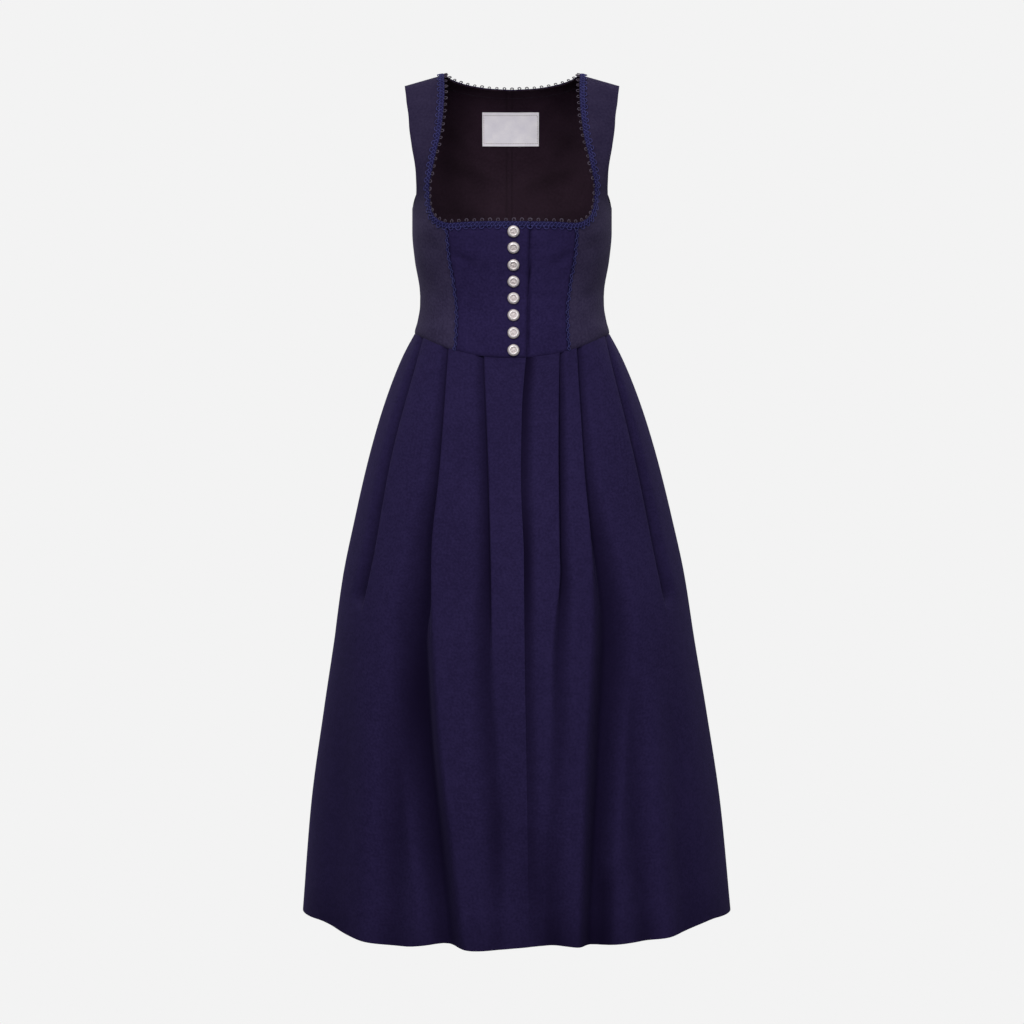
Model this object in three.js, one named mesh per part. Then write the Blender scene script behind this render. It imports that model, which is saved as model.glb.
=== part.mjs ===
// A sleeveless folk dress with a buttoned bodice and a long pleated skirt, hollow as it is when worn.
// Millimetres, +Z up, +X to the wearer's left, and the front faces -Y.
// The origin lies midway between the shoulder straps, level with the line where they cross the shoulders.
import * as THREE from 'three';

// Cloth and gaps
const SKIRT_CLOTH = 1.0;
const BODICE_CLOTH = 1.5;
const LINING_CLOTH = 1.0;
const LINING_GAP = 0.7;
const LABEL_CLOTH = 1.0;
const BRAID_THICKNESS = 1.1;
const LAYER_GAP = 0.4;
const LABEL_GAP = 1.4;
const HALF_SEAM_GAP = 0.2;
const WAIST_SEAM_GAP = 0.6;

// Main heights, all measured from the shoulder line
const UNDERARM_Z = -190;
const SIDE_WAIST_Z = -364;
const WAIST_FRONT_DIP = 38;
const SIDE_HEM_Z = -1165;
const HEM_FRONT_DIP = 19;
const HEM_DIP_FROM_COSINE = 0.42;
const HEM_DIP_TO_COSINE = 0.85;
const NECKLINE_Z = -219.5;
const BACK_NECK_Z = -14;

// Shoulder line
const NECK_POINT_X = 95;
const SHOULDER_TIP_X = 150.5;
const SHOULDER_SLOPE = 0.28;
const SHOULDER_FADE_FROM = 60;
const SHOULDER_FADE_TO = 160;

// Sections of the bodice from the shoulder line down: half width at the side, depth to the front and to the back
const BODICE_SQUARENESS = 2.3;
const BODICE_SECTIONS = [
  { z: 0, halfWidth: 190, front: 0, back: 0 },
  { z: -6, halfWidth: 190, front: 15, back: 25 },
  { z: -16, halfWidth: 189, front: 26, back: 44 },
  { z: -30, halfWidth: 188, front: 37, back: 57 },
  { z: -60, halfWidth: 184, front: 55, back: 70 },
  { z: -100, halfWidth: 172, front: 77, back: 80 },
  { z: -150, halfWidth: 151, front: 102, back: 86 },
  { z: -190, halfWidth: 139.5, front: 117, back: 86 },
  { z: -222, halfWidth: 139.5, front: 121, back: 83 },
  { z: -260, halfWidth: 136, front: 113, back: 79 },
  { z: -300, halfWidth: 129.5, front: 102, back: 75 },
  { z: -322, halfWidth: 128.5, front: 98, back: 74 },
  { z: -345, halfWidth: 132, front: 97, back: 76 },
  { z: -364, halfWidth: 136.5, front: 98, back: 79 },
  { z: -410, halfWidth: 136.5, front: 98, back: 79 },
];

// Fullness that the princess seams give the front at the neckline
const BUST = { fullness: 6, angle: 0.62, angleSpread: 0.36, z: -208, zSpread: 48 };

// Edges of the bodice panels, seen from the front or the back
const PRINCESS_SEAM = [
  { x: 78, z: -390 },
  { x: 76, z: -364 },
  { x: 75.5, z: -342 },
  { x: 77.5, z: -315 },
  { x: 81, z: -290 },
  { x: 86, z: -262 },
  { x: 88, z: NECKLINE_Z },
];
const STRAP_NECK_EDGE = [
  { x: 88, z: NECKLINE_Z },
  { x: 100, z: -214 },
  { x: 108, z: -204 },
  { x: 112, z: -187 },
  { x: 113, z: -170 },
  { x: 110, z: -148 },
  { x: 105.5, z: -125 },
  { x: 100, z: -101 },
  { x: 96, z: -72 },
  { x: 94, z: -41 },
  { x: 94.5, z: -10 },
  { x: NECK_POINT_X, z: 0 },
];
const FRONT_ARMHOLE = [
  { x: 139.5, z: UNDERARM_Z },
  { x: 134.5, z: -183 },
  { x: 132, z: -168 },
  { x: 132.5, z: -148 },
  { x: 137, z: -116 },
  { x: 143, z: -70 },
  { x: 147, z: -40 },
  { x: SHOULDER_TIP_X, z: -15.54 },
];
const BACK_ARMHOLE = [
  { x: 139.5, z: UNDERARM_Z },
  { x: 133.5, z: -182 },
  { x: 129, z: -165 },
  { x: 127, z: -130 },
  { x: 130, z: -90 },
  { x: 138, z: -50 },
  { x: SHOULDER_TIP_X, z: -15.54 },
];
const BACK_NECK_EDGE = [
  { x: 0, z: BACK_NECK_Z },
  { x: 40, z: -12 },
  { x: 70, z: -7.5 },
  { x: 86, z: -3 },
  { x: NECK_POINT_X, z: 0 },
];

// The button placket: the right front laps over the left
const PLACKET_EDGE_TOP_X = 24;
const PLACKET_EDGE_BOTTOM_X = 20;
const UNDERLAP = 44;
const PLACKET_LIFT = BODICE_CLOTH + LAYER_GAP;
const LIFT_FROM_X = -62;
const LIFT_TO_X = -28;

// Shank buttons
const BUTTON_X = 2;
const BUTTON_HEIGHTS = [-232.4, -253.4, -276.2, -298.3, -321, -344.3, -368.4, -392];
const BUTTON_SIDES = 12;
const BUTTON_STANDOFF = 0.55;
const BUTTON_PROFILE = [
  { radius: 0, height: 0 },
  { radius: 3.2, height: 0 },
  { radius: 3.2, height: 0.8 },
  { radius: 7.6, height: 1.3 },
  { radius: 8, height: 2 },
  { radius: 6.9, height: 3.2 },
  { radius: 5, height: 4.2 },
  { radius: 3.6, height: 3.5 },
  { radius: 0, height: 3.8 },
];

// Crochet braid round the neck, with picots past the edge, and the narrow one on each princess seam
const BRAID_ON_CLOTH = 8.2;
const BRAID_SCALLOP = 1.4;
const PICOT_ROOT = 0.6;
const PICOT_REACH = 4.4;
const PICOT_PITCH = 11.7;
const SEAM_BRAID_HALF_WIDTH = 2.6;
const SEAM_BRAID_WAVE = 1.4;
const SEAM_BRAID_STATIONS = 29;
const BRAID_GAP = 0.7;

// Woven label inside the back
const LABEL_CENTRE_X = -2;
const LABEL_WIDTH = 81;
const LABEL_TOP_Z = -41.5;
const LABEL_BOTTOM_Z = -88.5;

// Sections of the skirt from the waist seam (drop 0) to the hem (drop 1). It leans a little to the wearer's left.
const SKIRT_SECTIONS = [
  { drop: 0, halfWidth: 136.5, front: 98, back: 79, squareness: 2.3, lean: 0 },
  { drop: 0.035, halfWidth: 151.5, front: 105, back: 88, squareness: 2.28, lean: 0 },
  { drop: 0.085, halfWidth: 168.5, front: 115, back: 100, squareness: 2.25, lean: 0.3 },
  { drop: 0.15, halfWidth: 186.5, front: 128, back: 115, squareness: 2.22, lean: 0.7 },
  { drop: 0.23, halfWidth: 204.5, front: 143, back: 132, squareness: 2.2, lean: 1.2 },
  { drop: 0.32, halfWidth: 221.5, front: 158, back: 149, squareness: 2.18, lean: 1.8 },
  { drop: 0.42, halfWidth: 238.5, front: 174, back: 165, squareness: 2.15, lean: 2.3 },
  { drop: 0.53, halfWidth: 251.5, front: 188, back: 180, squareness: 2.13, lean: 3 },
  { drop: 0.66, halfWidth: 268, front: 203, back: 195, squareness: 2.12, lean: 4 },
  { drop: 0.82, halfWidth: 286, front: 218, back: 210, squareness: 2.1, lean: 5.2 },
  { drop: 1, halfWidth: 298.5, front: 230, back: 220, squareness: 2.1, lean: 6.5 },
];

// Knife pleats, from the centre to the side, whose folded edges all face the side seams. Each edge runs down
// through these distances from the centre at the waist, hip, knee and hem. At the waist it hides lap millimetres
// of cloth. That falls open at the drop named opens, and leaves a wave with its valley reach beyond its crest.
// Its depths are at the hip, knee, calf and hem.
const HIP = 0.2;
const KNEE = 0.5;
const CALF = 0.68;
const RIGHT_PLEATS = [
  { waist: 38, hip: 32, knee: 27, hem: 13, lap: 22, opens: 0.56, depths: [6, 6, 5, 3], reach: 14 },
  { waist: 87, hip: 97, knee: 102, hem: 66, lap: 30, opens: 0.5, depths: [10, 23, 25, 20], reach: 34 },
  { waist: 123, hip: 162, knee: 202, hem: 226, lap: 22, opens: 0.57, depths: [9, 8, 1, 1], reach: 34 },
];
const LEFT_PLEATS = [
  { waist: 65, hip: 62, knee: 50, hem: 36, lap: 26, opens: 0.48, depths: [8, 7, 5, 3], reach: 14 },
  { waist: 89, hip: 96, knee: 99, hem: 79, lap: 14, opens: 0.46, depths: [9, 22, 25, 21], reach: 33 },
  { waist: 129, hip: 162, knee: 202, hem: 226, lap: 22, opens: 0.57, depths: [9, 8, 1, 1], reach: 34 },
];
const BACK_PLEATS = [
  { waist: 16, hip: 21, knee: 26, hem: 28, lap: 12, opens: 0.44, depths: [8, 14, 14, 13], reach: 27 },
  { waist: 54, hip: 74, knee: 90, hem: 96, lap: 24, opens: 0.48, depths: [9, 17, 18, 17], reach: 30 },
  { waist: 92, hip: 128, knee: 152, hem: 168, lap: 24, opens: 0.48, depths: [10, 20, 21, 20], reach: 30 },
  { waist: 121, hip: 168, knee: 206, hem: 236, lap: 16, opens: 0.5, depths: [10, 14, 14, 13], reach: 26 },
];
const WAIST_PLEAT_DEPTH = 4.4;
const FOLD_RADIUS = 1.6;
const LEAST_LAP = 5;
const FOLD_LEAD_IN = 2.5;
const PANEL_STEPS = 4;
const WAVE_STEPS = 6;

// The front opening of the skirt: its right edge laps over the left, and lower down they are sewn edge to edge
const OPENING = [
  { drop: 0, x: 19, underlap: 26, step: 2.2 },
  { drop: 0.2, x: 12, underlap: 20, step: 2.2 },
  { drop: 0.42, x: 13, underlap: 18, step: 2.2 },
  { drop: 0.53, x: 14, underlap: 14, step: 2 },
  { drop: 0.66, x: 15, underlap: -0.5, step: 1.6 },
  { drop: 1, x: 16, underlap: -0.5, step: 0 },
];
const UNDERLAP_CLEAR = 3;

// Colours of the cloth and trims
const NAVY_WOOL = new THREE.MeshStandardMaterial({ color: 0x26203f, roughness: 0.9, metalness: 0 });
const DARK_LINING = new THREE.MeshStandardMaterial({ color: 0x21171f, roughness: 0.75, metalness: 0 });
const BLUE_BRAID = new THREE.MeshStandardMaterial({ color: 0x252a66, roughness: 0.7, metalness: 0 });
const WHITE_LABEL = new THREE.MeshStandardMaterial({ color: 0xd0cbd4, roughness: 0.6, metalness: 0 });
const SILVER = new THREE.MeshStandardMaterial({ color: 0xc9bfbf, roughness: 0.35, metalness: 0.9 });

const { lerp, smoothstep } = THREE.MathUtils;

// The slope of a column at a row of a table that makes the curve through its rows smooth, with no overshoot.
function slopeAt(table, key, column, row) {
  const i = Math.min(table.length - 2, Math.max(1, row));
  const before = (table[i][column] - table[i - 1][column]) / (table[i][key] - table[i - 1][key]);
  const after = (table[i + 1][column] - table[i][column]) / (table[i + 1][key] - table[i][key]);
  if (row < i) return before;
  if (row > i) return after;
  return before * after <= 0 ? 0 : (2 * before * after) / (before + after);
}

// The value of a named column of a table at a place between its rows, whose key rises.
function columnAt(table, key, place, column) {
  const next = table.findIndex((row) => row[key] > place);
  const i = next === -1 ? table.length - 2 : Math.max(0, next - 1);
  const from = table[i];
  const to = table[i + 1];
  const span = to[key] - from[key];
  const s = Math.min(1, Math.max(0, (place - from[key]) / span));
  const startSlope = slopeAt(table, key, column, i) * span;
  const endSlope = slopeAt(table, key, column, i + 1) * span;
  const s2 = s * s;
  const s3 = s2 * s;
  return (
    (2 * s3 - 3 * s2 + 1) * from[column] +
    (s3 - 2 * s2 + s) * startSlope +
    (3 * s2 - 2 * s3) * to[column] +
    (s3 - s2) * endSlope
  );
}

// A power that keeps the sign of its base.
function signedPower(value, power) {
  return Math.sign(value) * Math.abs(value) ** power;
}

// Bodice surface

// A place on the bodice has an angle round the body, 0 at the centre front and rising over the wearer's left
// side, and a fall, the square root of its distance below the shoulder line. Equal steps of fall go evenly over
// the rounded shoulder.
const fallAt = (z) => Math.sqrt(Math.max(0, -z));
const BODICE_ROWS = BODICE_SECTIONS.map((row) => ({ ...row, fall: fallAt(row.z) }));

// How far the shoulder line has dropped at a distance from the centre, fading out below the shoulders.
function shoulderDrop(x, fall) {
  const fade = 1 - smoothstep(fall * fall, SHOULDER_FADE_FROM, SHOULDER_FADE_TO);
  return Math.max(0, Math.abs(x) - NECK_POINT_X) * SHOULDER_SLOPE * fade;
}

// A point of the bodice's outer surface.
function bodicePoint({ angle, fall }) {
  const halfWidth = columnAt(BODICE_ROWS, 'fall', fall, 'halfWidth');
  const depth = columnAt(BODICE_ROWS, 'fall', fall, Math.cos(angle) > 0 ? 'front' : 'back');
  const power = 2 / BODICE_SQUARENESS;
  const x = halfWidth * signedPower(Math.sin(angle), power);
  const y = -depth * signedPower(Math.cos(angle), power);
  const z = -fall * fall;
  const across = (Math.abs(angle) - BUST.angle) / BUST.angleSpread;
  const up = (z - BUST.z) / BUST.zSpread;
  const fullness = BUST.fullness * Math.exp(-across * across - up * up);
  return new THREE.Vector3(x, y - fullness, z - shoulderDrop(x, fall));
}

// The outward normal of the bodice, and the steps along its surface that go with a step of angle and of fall.
const ANGLE_STEP = 0.01;
const FALL_STEP = 0.05;
function bodiceFrame({ angle, fall }) {
  const upper = Math.max(0, fall - FALL_STEP);
  const lower = fall + FALL_STEP;
  const round = bodicePoint({ angle: angle + ANGLE_STEP, fall: lower }).sub(
    bodicePoint({ angle: angle - ANGLE_STEP, fall: lower }),
  );
  const down = bodicePoint({ angle, fall: lower }).sub(bodicePoint({ angle, fall: upper }));
  const normal = down.clone().cross(round).normalize();
  round.divideScalar(2 * ANGLE_STEP);
  down.divideScalar(lower - upper);
  return { normal, round, down };
}

// The place on the bodice that shows at a distance x from the centre and a height z, on the front or the back.
function placeAt({ x, z }, front = true) {
  let fall = fallAt(z);
  for (let i = 0; i < 20; i++) fall = fallAt(z + shoulderDrop(x, fall));
  const halfWidth = columnAt(BODICE_ROWS, 'fall', fall, 'halfWidth');
  const angle = Math.asin(Math.min(1, Math.abs(x) / halfWidth) ** (BODICE_SQUARENESS / 2));
  return { angle: Math.sign(x || 1) * (front ? angle : Math.PI - angle), fall };
}

// The height of the waist seam and of the hem round the body.
function waistHeight(angle) {
  return SIDE_WAIST_Z - WAIST_FRONT_DIP * Math.max(0, Math.cos(angle)) ** 2;
}

function hemHeight(angle) {
  return SIDE_HEM_Z - HEM_FRONT_DIP * smoothstep(Math.cos(angle), HEM_DIP_FROM_COSINE, HEM_DIP_TO_COSINE);
}

// A place between two others.
function between(from, to, share) {
  return { angle: lerp(from.angle, to.angle, share), fall: lerp(from.fall, to.fall, share) };
}

// Evenly spaced places along a smooth edge through a few of them.
function alongEdge(places, count) {
  const turnToFall = 12;
  const curve = new THREE.CatmullRomCurve3(
    places.map(({ angle, fall }) => new THREE.Vector3(angle * turnToFall, fall, 0)),
    false,
    'centripetal',
  );
  const fine = curve.getPoints(240).map((v) => ({ angle: v.x / turnToFall, fall: Math.max(0, v.y) }));
  const lengths = [0];
  for (let i = 1; i < fine.length; i++) {
    lengths.push(lengths[i - 1] + bodicePoint(fine[i]).distanceTo(bodicePoint(fine[i - 1])));
  }
  const total = lengths[lengths.length - 1];
  const made = [];
  for (let k = 0; k < count; k++) {
    const target = (total * k) / (count - 1);
    const found = lengths.findIndex((length) => length >= target);
    const i = found === -1 ? fine.length - 1 : Math.max(1, found);
    const share = (target - lengths[i - 1]) / (lengths[i] - lengths[i - 1]);
    made.push(between(fine[i - 1], fine[i], share));
  }
  return made;
}

// The length of an edge along the surface.
function edgeLength(places) {
  const fine = alongEdge(places, 100).map(bodicePoint);
  return fine.slice(1).reduce((sum, p, i) => sum + p.distanceTo(fine[i]), 0);
}

// Rows of places between two edges.
function patch(fromEdge, toEdge, columns) {
  return fromEdge.map((from, row) => {
    const across = [];
    for (let c = 0; c < columns; c++) across.push(between(from, toEdge[row], c / (columns - 1)));
    return across;
  });
}

// Walls

// A closed geometry from two grids of points, the two faces of a wall.
function wall(outer, inner) {
  const rows = outer.length;
  const columns = outer[0].length;
  const positions = [];
  for (const face of [outer, inner]) {
    for (const row of face) {
      for (const p of row) positions.push(p.x, p.y, p.z);
    }
  }
  const index = [];
  const at = (face, r, c) => face * rows * columns + r * columns + c;
  const quad = (a, b, c, d) => index.push(a, b, c, a, c, d);
  const right = columns - 1;
  const top = rows - 1;
  for (let r = 0; r < top; r++) {
    for (let c = 0; c < right; c++) {
      quad(at(0, r, c), at(0, r, c + 1), at(0, r + 1, c + 1), at(0, r + 1, c));
      quad(at(1, r, c), at(1, r + 1, c), at(1, r + 1, c + 1), at(1, r, c + 1));
    }
    quad(at(1, r, 0), at(0, r, 0), at(0, r + 1, 0), at(1, r + 1, 0));
    quad(at(0, r, right), at(1, r, right), at(1, r + 1, right), at(0, r + 1, right));
  }
  for (let c = 0; c < right; c++) {
    quad(at(1, 0, c), at(1, 0, c + 1), at(0, 0, c + 1), at(0, 0, c));
    quad(at(0, top, c), at(0, top, c + 1), at(1, top, c + 1), at(1, top, c));
  }
  if (signedVolume(positions, index) < 0) index.reverse();
  const geometry = new THREE.BufferGeometry();
  geometry.setAttribute('position', new THREE.Float32BufferAttribute(positions, 3));
  geometry.setIndex(index);
  geometry.computeVertexNormals();
  return geometry;
}

// The volume inside a closed mesh, negative where its faces point inwards.
function signedVolume(positions, index) {
  const corner = (i) => new THREE.Vector3().fromArray(positions, index[i] * 3);
  let volume = 0;
  for (let i = 0; i < index.length; i += 3) {
    volume += corner(i).dot(corner(i + 1).cross(corner(i + 2))) / 6;
  }
  return volume;
}

// A piece over part of the bodice, between two offsets from its surface.
function bodicePiece(grid, outerOffset, innerOffset, lift = () => 0) {
  const offset = (distance) =>
    grid.map((row) =>
      row.map((place) => {
        const p = bodicePoint(place);
        return p.addScaledVector(bodiceFrame(place).normal, distance + lift(p));
      }),
    );
  return wall(offset(outerOffset), offset(innerOffset));
}

// A place drawn towards its neighbour by half the seam gap.
function drawnIn(place, neighbour) {
  const distance = bodicePoint(place).distanceTo(bodicePoint(neighbour));
  return between(place, neighbour, HALF_SEAM_GAP / distance);
}

// A grid with the seams on its sides and its top drawn in. A side's seam runs up the number of rows given.
function seamed(grid, { startRows = 0, endRows = 0, top = false }) {
  const right = grid[0].length - 1;
  const drawn = grid.map((row, r) => {
    const made = row.slice();
    if (r < startRows) made[0] = drawnIn(row[0], row[1]);
    if (r < endRows) made[right] = drawnIn(row[right], row[right - 1]);
    return made;
  });
  const last = grid.length - 1;
  if (top) drawn[last] = drawn[last].map((place, c) => drawnIn(place, drawn[last - 1][c]));
  return drawn;
}

// Places mirrored to the wearer's right.
function mirrored(places) {
  return places.map(({ angle, fall }) => ({ angle: -angle, fall }));
}

const dress = new THREE.Group();
dress.name = 'dirndl';

function addPiece(name, geometry, material) {
  const mesh = new THREE.Mesh(geometry, material);
  mesh.name = name;
  dress.add(mesh);
  return mesh;
}

// Bodice fronts

const PANEL_ROWS = 8;
const PANEL_COLUMNS = 7;
const STRAP_ROWS = 12;
const STRAP_COLUMNS = 6;

// Brings the foot of a panel to the waist seam, and moves the rows above it by less and less.
function footOnWaist(grid, rows) {
  const foot = grid[0].map(({ angle, fall }) => fallAt(waistHeight(angle)) - fall);
  return grid.map((row, r) => {
    const share = Math.max(0, 1 - r / (rows - 1));
    return row.map(({ angle, fall }, c) => ({ angle, fall: fall + foot[c] * share }));
  });
}

// The x of the placket's edge at a height, and how far the right front stands out over the left.
function placketEdgeX(z) {
  const foot = waistHeight(0);
  return lerp(PLACKET_EDGE_BOTTOM_X, PLACKET_EDGE_TOP_X, (z - foot) / (NECKLINE_Z - foot));
}

function placketLift(p) {
  return PLACKET_LIFT * smoothstep(p.x, LIFT_FROM_X, LIFT_TO_X);
}

const princessPlaces = PRINCESS_SEAM.map((row) => placeAt(row));
princessPlaces[0].fall = fallAt(waistHeight(princessPlaces[0].angle));
const princessEdge = alongEdge(princessPlaces, PANEL_ROWS);

// The edge of a centre front panel, some way from the placket's edge.
function centreEdge(shift) {
  const foot = waistHeight(0);
  return princessEdge.map((place, row) => {
    const z = lerp(foot, NECKLINE_Z, row / (PANEL_ROWS - 1));
    return placeAt({ x: placketEdgeX(z) + shift, z });
  });
}

const rightFront = patch(mirrored(princessEdge), centreEdge(0), PANEL_COLUMNS);
const leftFront = patch(centreEdge(-UNDERLAP), princessEdge, PANEL_COLUMNS);
const rightFrontGrid = seamed(footOnWaist(rightFront, PANEL_ROWS), { startRows: PANEL_ROWS });
const leftFrontGrid = seamed(footOnWaist(leftFront, PANEL_ROWS), { endRows: PANEL_ROWS });
addPiece('bodice_front_right', bodicePiece(rightFrontGrid, 0, -BODICE_CLOTH, placketLift), NAVY_WOOL);
addPiece('bodice_front_left', bodicePiece(leftFrontGrid, 0, -BODICE_CLOTH), NAVY_WOOL);

const SIDE_SEAM_Z = [SIDE_WAIST_Z, -345, -322, -300, -260, -222, UNDERARM_Z];
const sideSeam = SIDE_SEAM_Z.map((z) => ({ angle: Math.PI / 2, fall: fallAt(z) }));
const strapNeckEdge = alongEdge(STRAP_NECK_EDGE.map((row) => placeAt(row)), STRAP_ROWS);
const frontArmhole = FRONT_ARMHOLE.map((row) => placeAt(row));
frontArmhole[0].angle = Math.PI / 2;
const sideFront = patch(
  [...princessEdge, ...strapNeckEdge.slice(1)],
  [...alongEdge(sideSeam, PANEL_ROWS), ...alongEdge(frontArmhole, STRAP_ROWS).slice(1)],
  STRAP_COLUMNS,
);
const sideFrontSeams = { startRows: PANEL_ROWS, endRows: PANEL_ROWS, top: true };
const sideFrontGrid = seamed(footOnWaist(sideFront, PANEL_ROWS), sideFrontSeams);
addPiece('bodice_side_front_left', bodicePiece(sideFrontGrid, 0, -BODICE_CLOTH), NAVY_WOOL);
addPiece(
  'bodice_side_front_right',
  bodicePiece(sideFrontGrid.map(mirrored), 0, -BODICE_CLOTH),
  NAVY_WOOL,
);

// Bodice back, its lining and the label

const SIDE_ROWS = 7;
const BACK_ARMHOLE_ROWS = 12;
const CENTRE_BACK_ROWS = 11;
const BACK_NECK_ROWS = 8;
const BACK_COLUMNS = 6;
const LINING_SETBACK_ROWS = 1;

const centreBackSeam = [];
for (let row = 0; row < CENTRE_BACK_ROWS; row++) {
  const share = row / (CENTRE_BACK_ROWS - 1);
  centreBackSeam.push({ angle: Math.PI, fall: lerp(fallAt(SIDE_WAIST_Z), fallAt(BACK_NECK_Z), share) });
}
const backArmhole = BACK_ARMHOLE.map((row) => placeAt(row, false));
backArmhole[0].angle = Math.PI / 2;
const backNeck = BACK_NECK_EDGE.map((row) => placeAt(row, false));
const backLeft = patch(
  [...centreBackSeam, ...alongEdge(backNeck, BACK_NECK_ROWS).slice(1)],
  [...alongEdge(sideSeam, SIDE_ROWS), ...alongEdge(backArmhole, BACK_ARMHOLE_ROWS).slice(1)],
  BACK_COLUMNS,
);
const backGrid = seamed(backLeft, { startRows: CENTRE_BACK_ROWS, endRows: SIDE_ROWS, top: true });
addPiece('bodice_back_left', bodicePiece(backGrid, 0, -BODICE_CLOTH), NAVY_WOOL);
addPiece('bodice_back_right', bodicePiece(backGrid.map(mirrored), 0, -BODICE_CLOTH), NAVY_WOOL);

const LINING_OUTER = -BODICE_CLOTH - LINING_GAP;
const LINING_INNER = LINING_OUTER - LINING_CLOTH;
const liningGrid = backGrid.slice(0, -LINING_SETBACK_ROWS);
addPiece('lining_back_left', bodicePiece(liningGrid, LINING_OUTER, LINING_INNER), DARK_LINING);
addPiece(
  'lining_back_right',
  bodicePiece(liningGrid.map(mirrored), LINING_OUTER, LINING_INNER),
  DARK_LINING,
);

const LABEL_OUTER = LINING_INNER - LABEL_GAP;
function labelEdge(x) {
  return [0, 0.25, 0.5, 0.75, 1].map((share) => {
    const { angle, fall } = placeAt({ x, z: lerp(LABEL_BOTTOM_Z, LABEL_TOP_Z, share) }, false);
    return { angle: angle < 0 ? angle + 2 * Math.PI : angle, fall };
  });
}
const labelGrid = patch(
  labelEdge(LABEL_CENTRE_X + LABEL_WIDTH / 2),
  labelEdge(LABEL_CENTRE_X - LABEL_WIDTH / 2),
  7,
);
addPiece('label', bodicePiece(labelGrid, LABEL_OUTER, LABEL_OUTER - LABEL_CLOTH), WHITE_LABEL);

// Braid

// The place a distance to one side of an edge, along the bodice's surface.
function besideEdge(place, before, after, reach) {
  const { normal, round, down } = bodiceFrame(place);
  const along = bodicePoint(after).sub(bodicePoint(before)).normalize();
  const move = normal.clone().cross(along).projectOnPlane(normal).normalize().multiplyScalar(reach);
  const rr = round.dot(round);
  const rd = round.dot(down);
  const dd = down.dot(down);
  const area = rr * dd - rd * rd;
  const turn = (move.dot(round) * dd - move.dot(down) * rd) / area;
  const sink = (move.dot(down) * rr - move.dot(round) * rd) / area;
  return { angle: place.angle + turn, fall: Math.max(0, place.fall + sink) };
}

// A strip of braid along an edge. Two functions of the station's number give its reach to either side.
function braid(edge, innerReach, outerReach, lift = () => 0) {
  const faces = [[], []];
  edge.forEach((place, i) => {
    const before = edge[Math.max(0, i - 1)];
    const after = edge[Math.min(edge.length - 1, i + 1)];
    const sides = [innerReach(i), outerReach(i)].map((reach) => {
      const beside = besideEdge(place, before, after, reach);
      return { p: bodicePoint(beside), normal: bodiceFrame(beside).normal };
    });
    const raised = (height) =>
      sides.map(({ p, normal }) => p.clone().addScaledVector(normal, height + lift(p)));
    faces[0].push(raised(BRAID_GAP + BRAID_THICKNESS));
    faces[1].push(raised(BRAID_GAP));
  });
  return wall(faces[0], faces[1]);
}

// Braid along one half of the neck, from the front opening over the strap to the centre back. Every second
// station has a picot, and between them the scallops dip.
function neckBraid(startX, side, lift) {
  const front = [
    placeAt({ x: startX, z: NECKLINE_Z }),
    placeAt({ x: 58, z: NECKLINE_Z }),
    ...STRAP_NECK_EDGE.map((row) => placeAt(row)),
  ];
  const back = [...backNeck].reverse();
  const [onFront, onBack] = [front, back].map((route) =>
    alongEdge(route, 2 * Math.round(edgeLength(route) / PICOT_PITCH) + 1),
  );
  const even = [...onFront, ...onBack.slice(1)];
  const last = even.length - 1;
  even[last] = drawnIn(even[last], even[last - 1]);
  const edge = side < 0 ? mirrored(even) : even;
  const picot = (i) => (i % 2 ? PICOT_REACH : PICOT_ROOT);
  const scallop = (i) => (i % 2 ? BRAID_ON_CLOTH : BRAID_ON_CLOTH - BRAID_SCALLOP);
  return braid(edge, (i) => side * picot(i), (i) => -side * scallop(i), lift);
}
const overPlacket = (p) => (p.y < 0 ? placketLift(p) : 0);
const LEFT_BRAID_START_X = PLACKET_EDGE_TOP_X + 1;
addPiece('neck_braid_left', neckBraid(LEFT_BRAID_START_X, 1, () => 0), BLUE_BRAID);
addPiece('neck_braid_right', neckBraid(-PLACKET_EDGE_TOP_X, -1, overPlacket), BLUE_BRAID);

const seamBraidTop = placeAt({ x: 88, z: NECKLINE_Z - BRAID_ON_CLOTH - 1 });
const seamBraidRoute = [...princessPlaces.slice(0, -1), seamBraidTop];
for (const [name, side] of [['seam_braid_left', 1], ['seam_braid_right', -1]]) {
  const even = alongEdge(seamBraidRoute, SEAM_BRAID_STATIONS);
  const edge = side < 0 ? mirrored(even) : even;
  const near = (i) => SEAM_BRAID_HALF_WIDTH + (i % 2 ? SEAM_BRAID_WAVE : 0);
  const far = (i) => SEAM_BRAID_HALF_WIDTH + (i % 2 ? 0 : SEAM_BRAID_WAVE);
  addPiece(name, braid(edge, (i) => side * near(i), (i) => -side * far(i)), BLUE_BRAID);
}

// Buttons

const buttonGeometry = new THREE.LatheGeometry(
  BUTTON_PROFILE.map(({ radius, height }) => new THREE.Vector2(radius, height)),
  BUTTON_SIDES,
);
for (const [i, height] of BUTTON_HEIGHTS.entries()) {
  const place = placeAt({ x: BUTTON_X, z: height });
  const { normal } = bodiceFrame(place);
  const button = addPiece(`button_${i + 1}`, buttonGeometry, SILVER);
  button.position.copy(bodicePoint(place)).addScaledVector(normal, PLACKET_LIFT + BUTTON_STANDOFF);
  button.quaternion.setFromUnitVectors(new THREE.Vector3(0, 1, 0), normal);
}

// Skirt

const SECTION_STEPS = 240;

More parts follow.
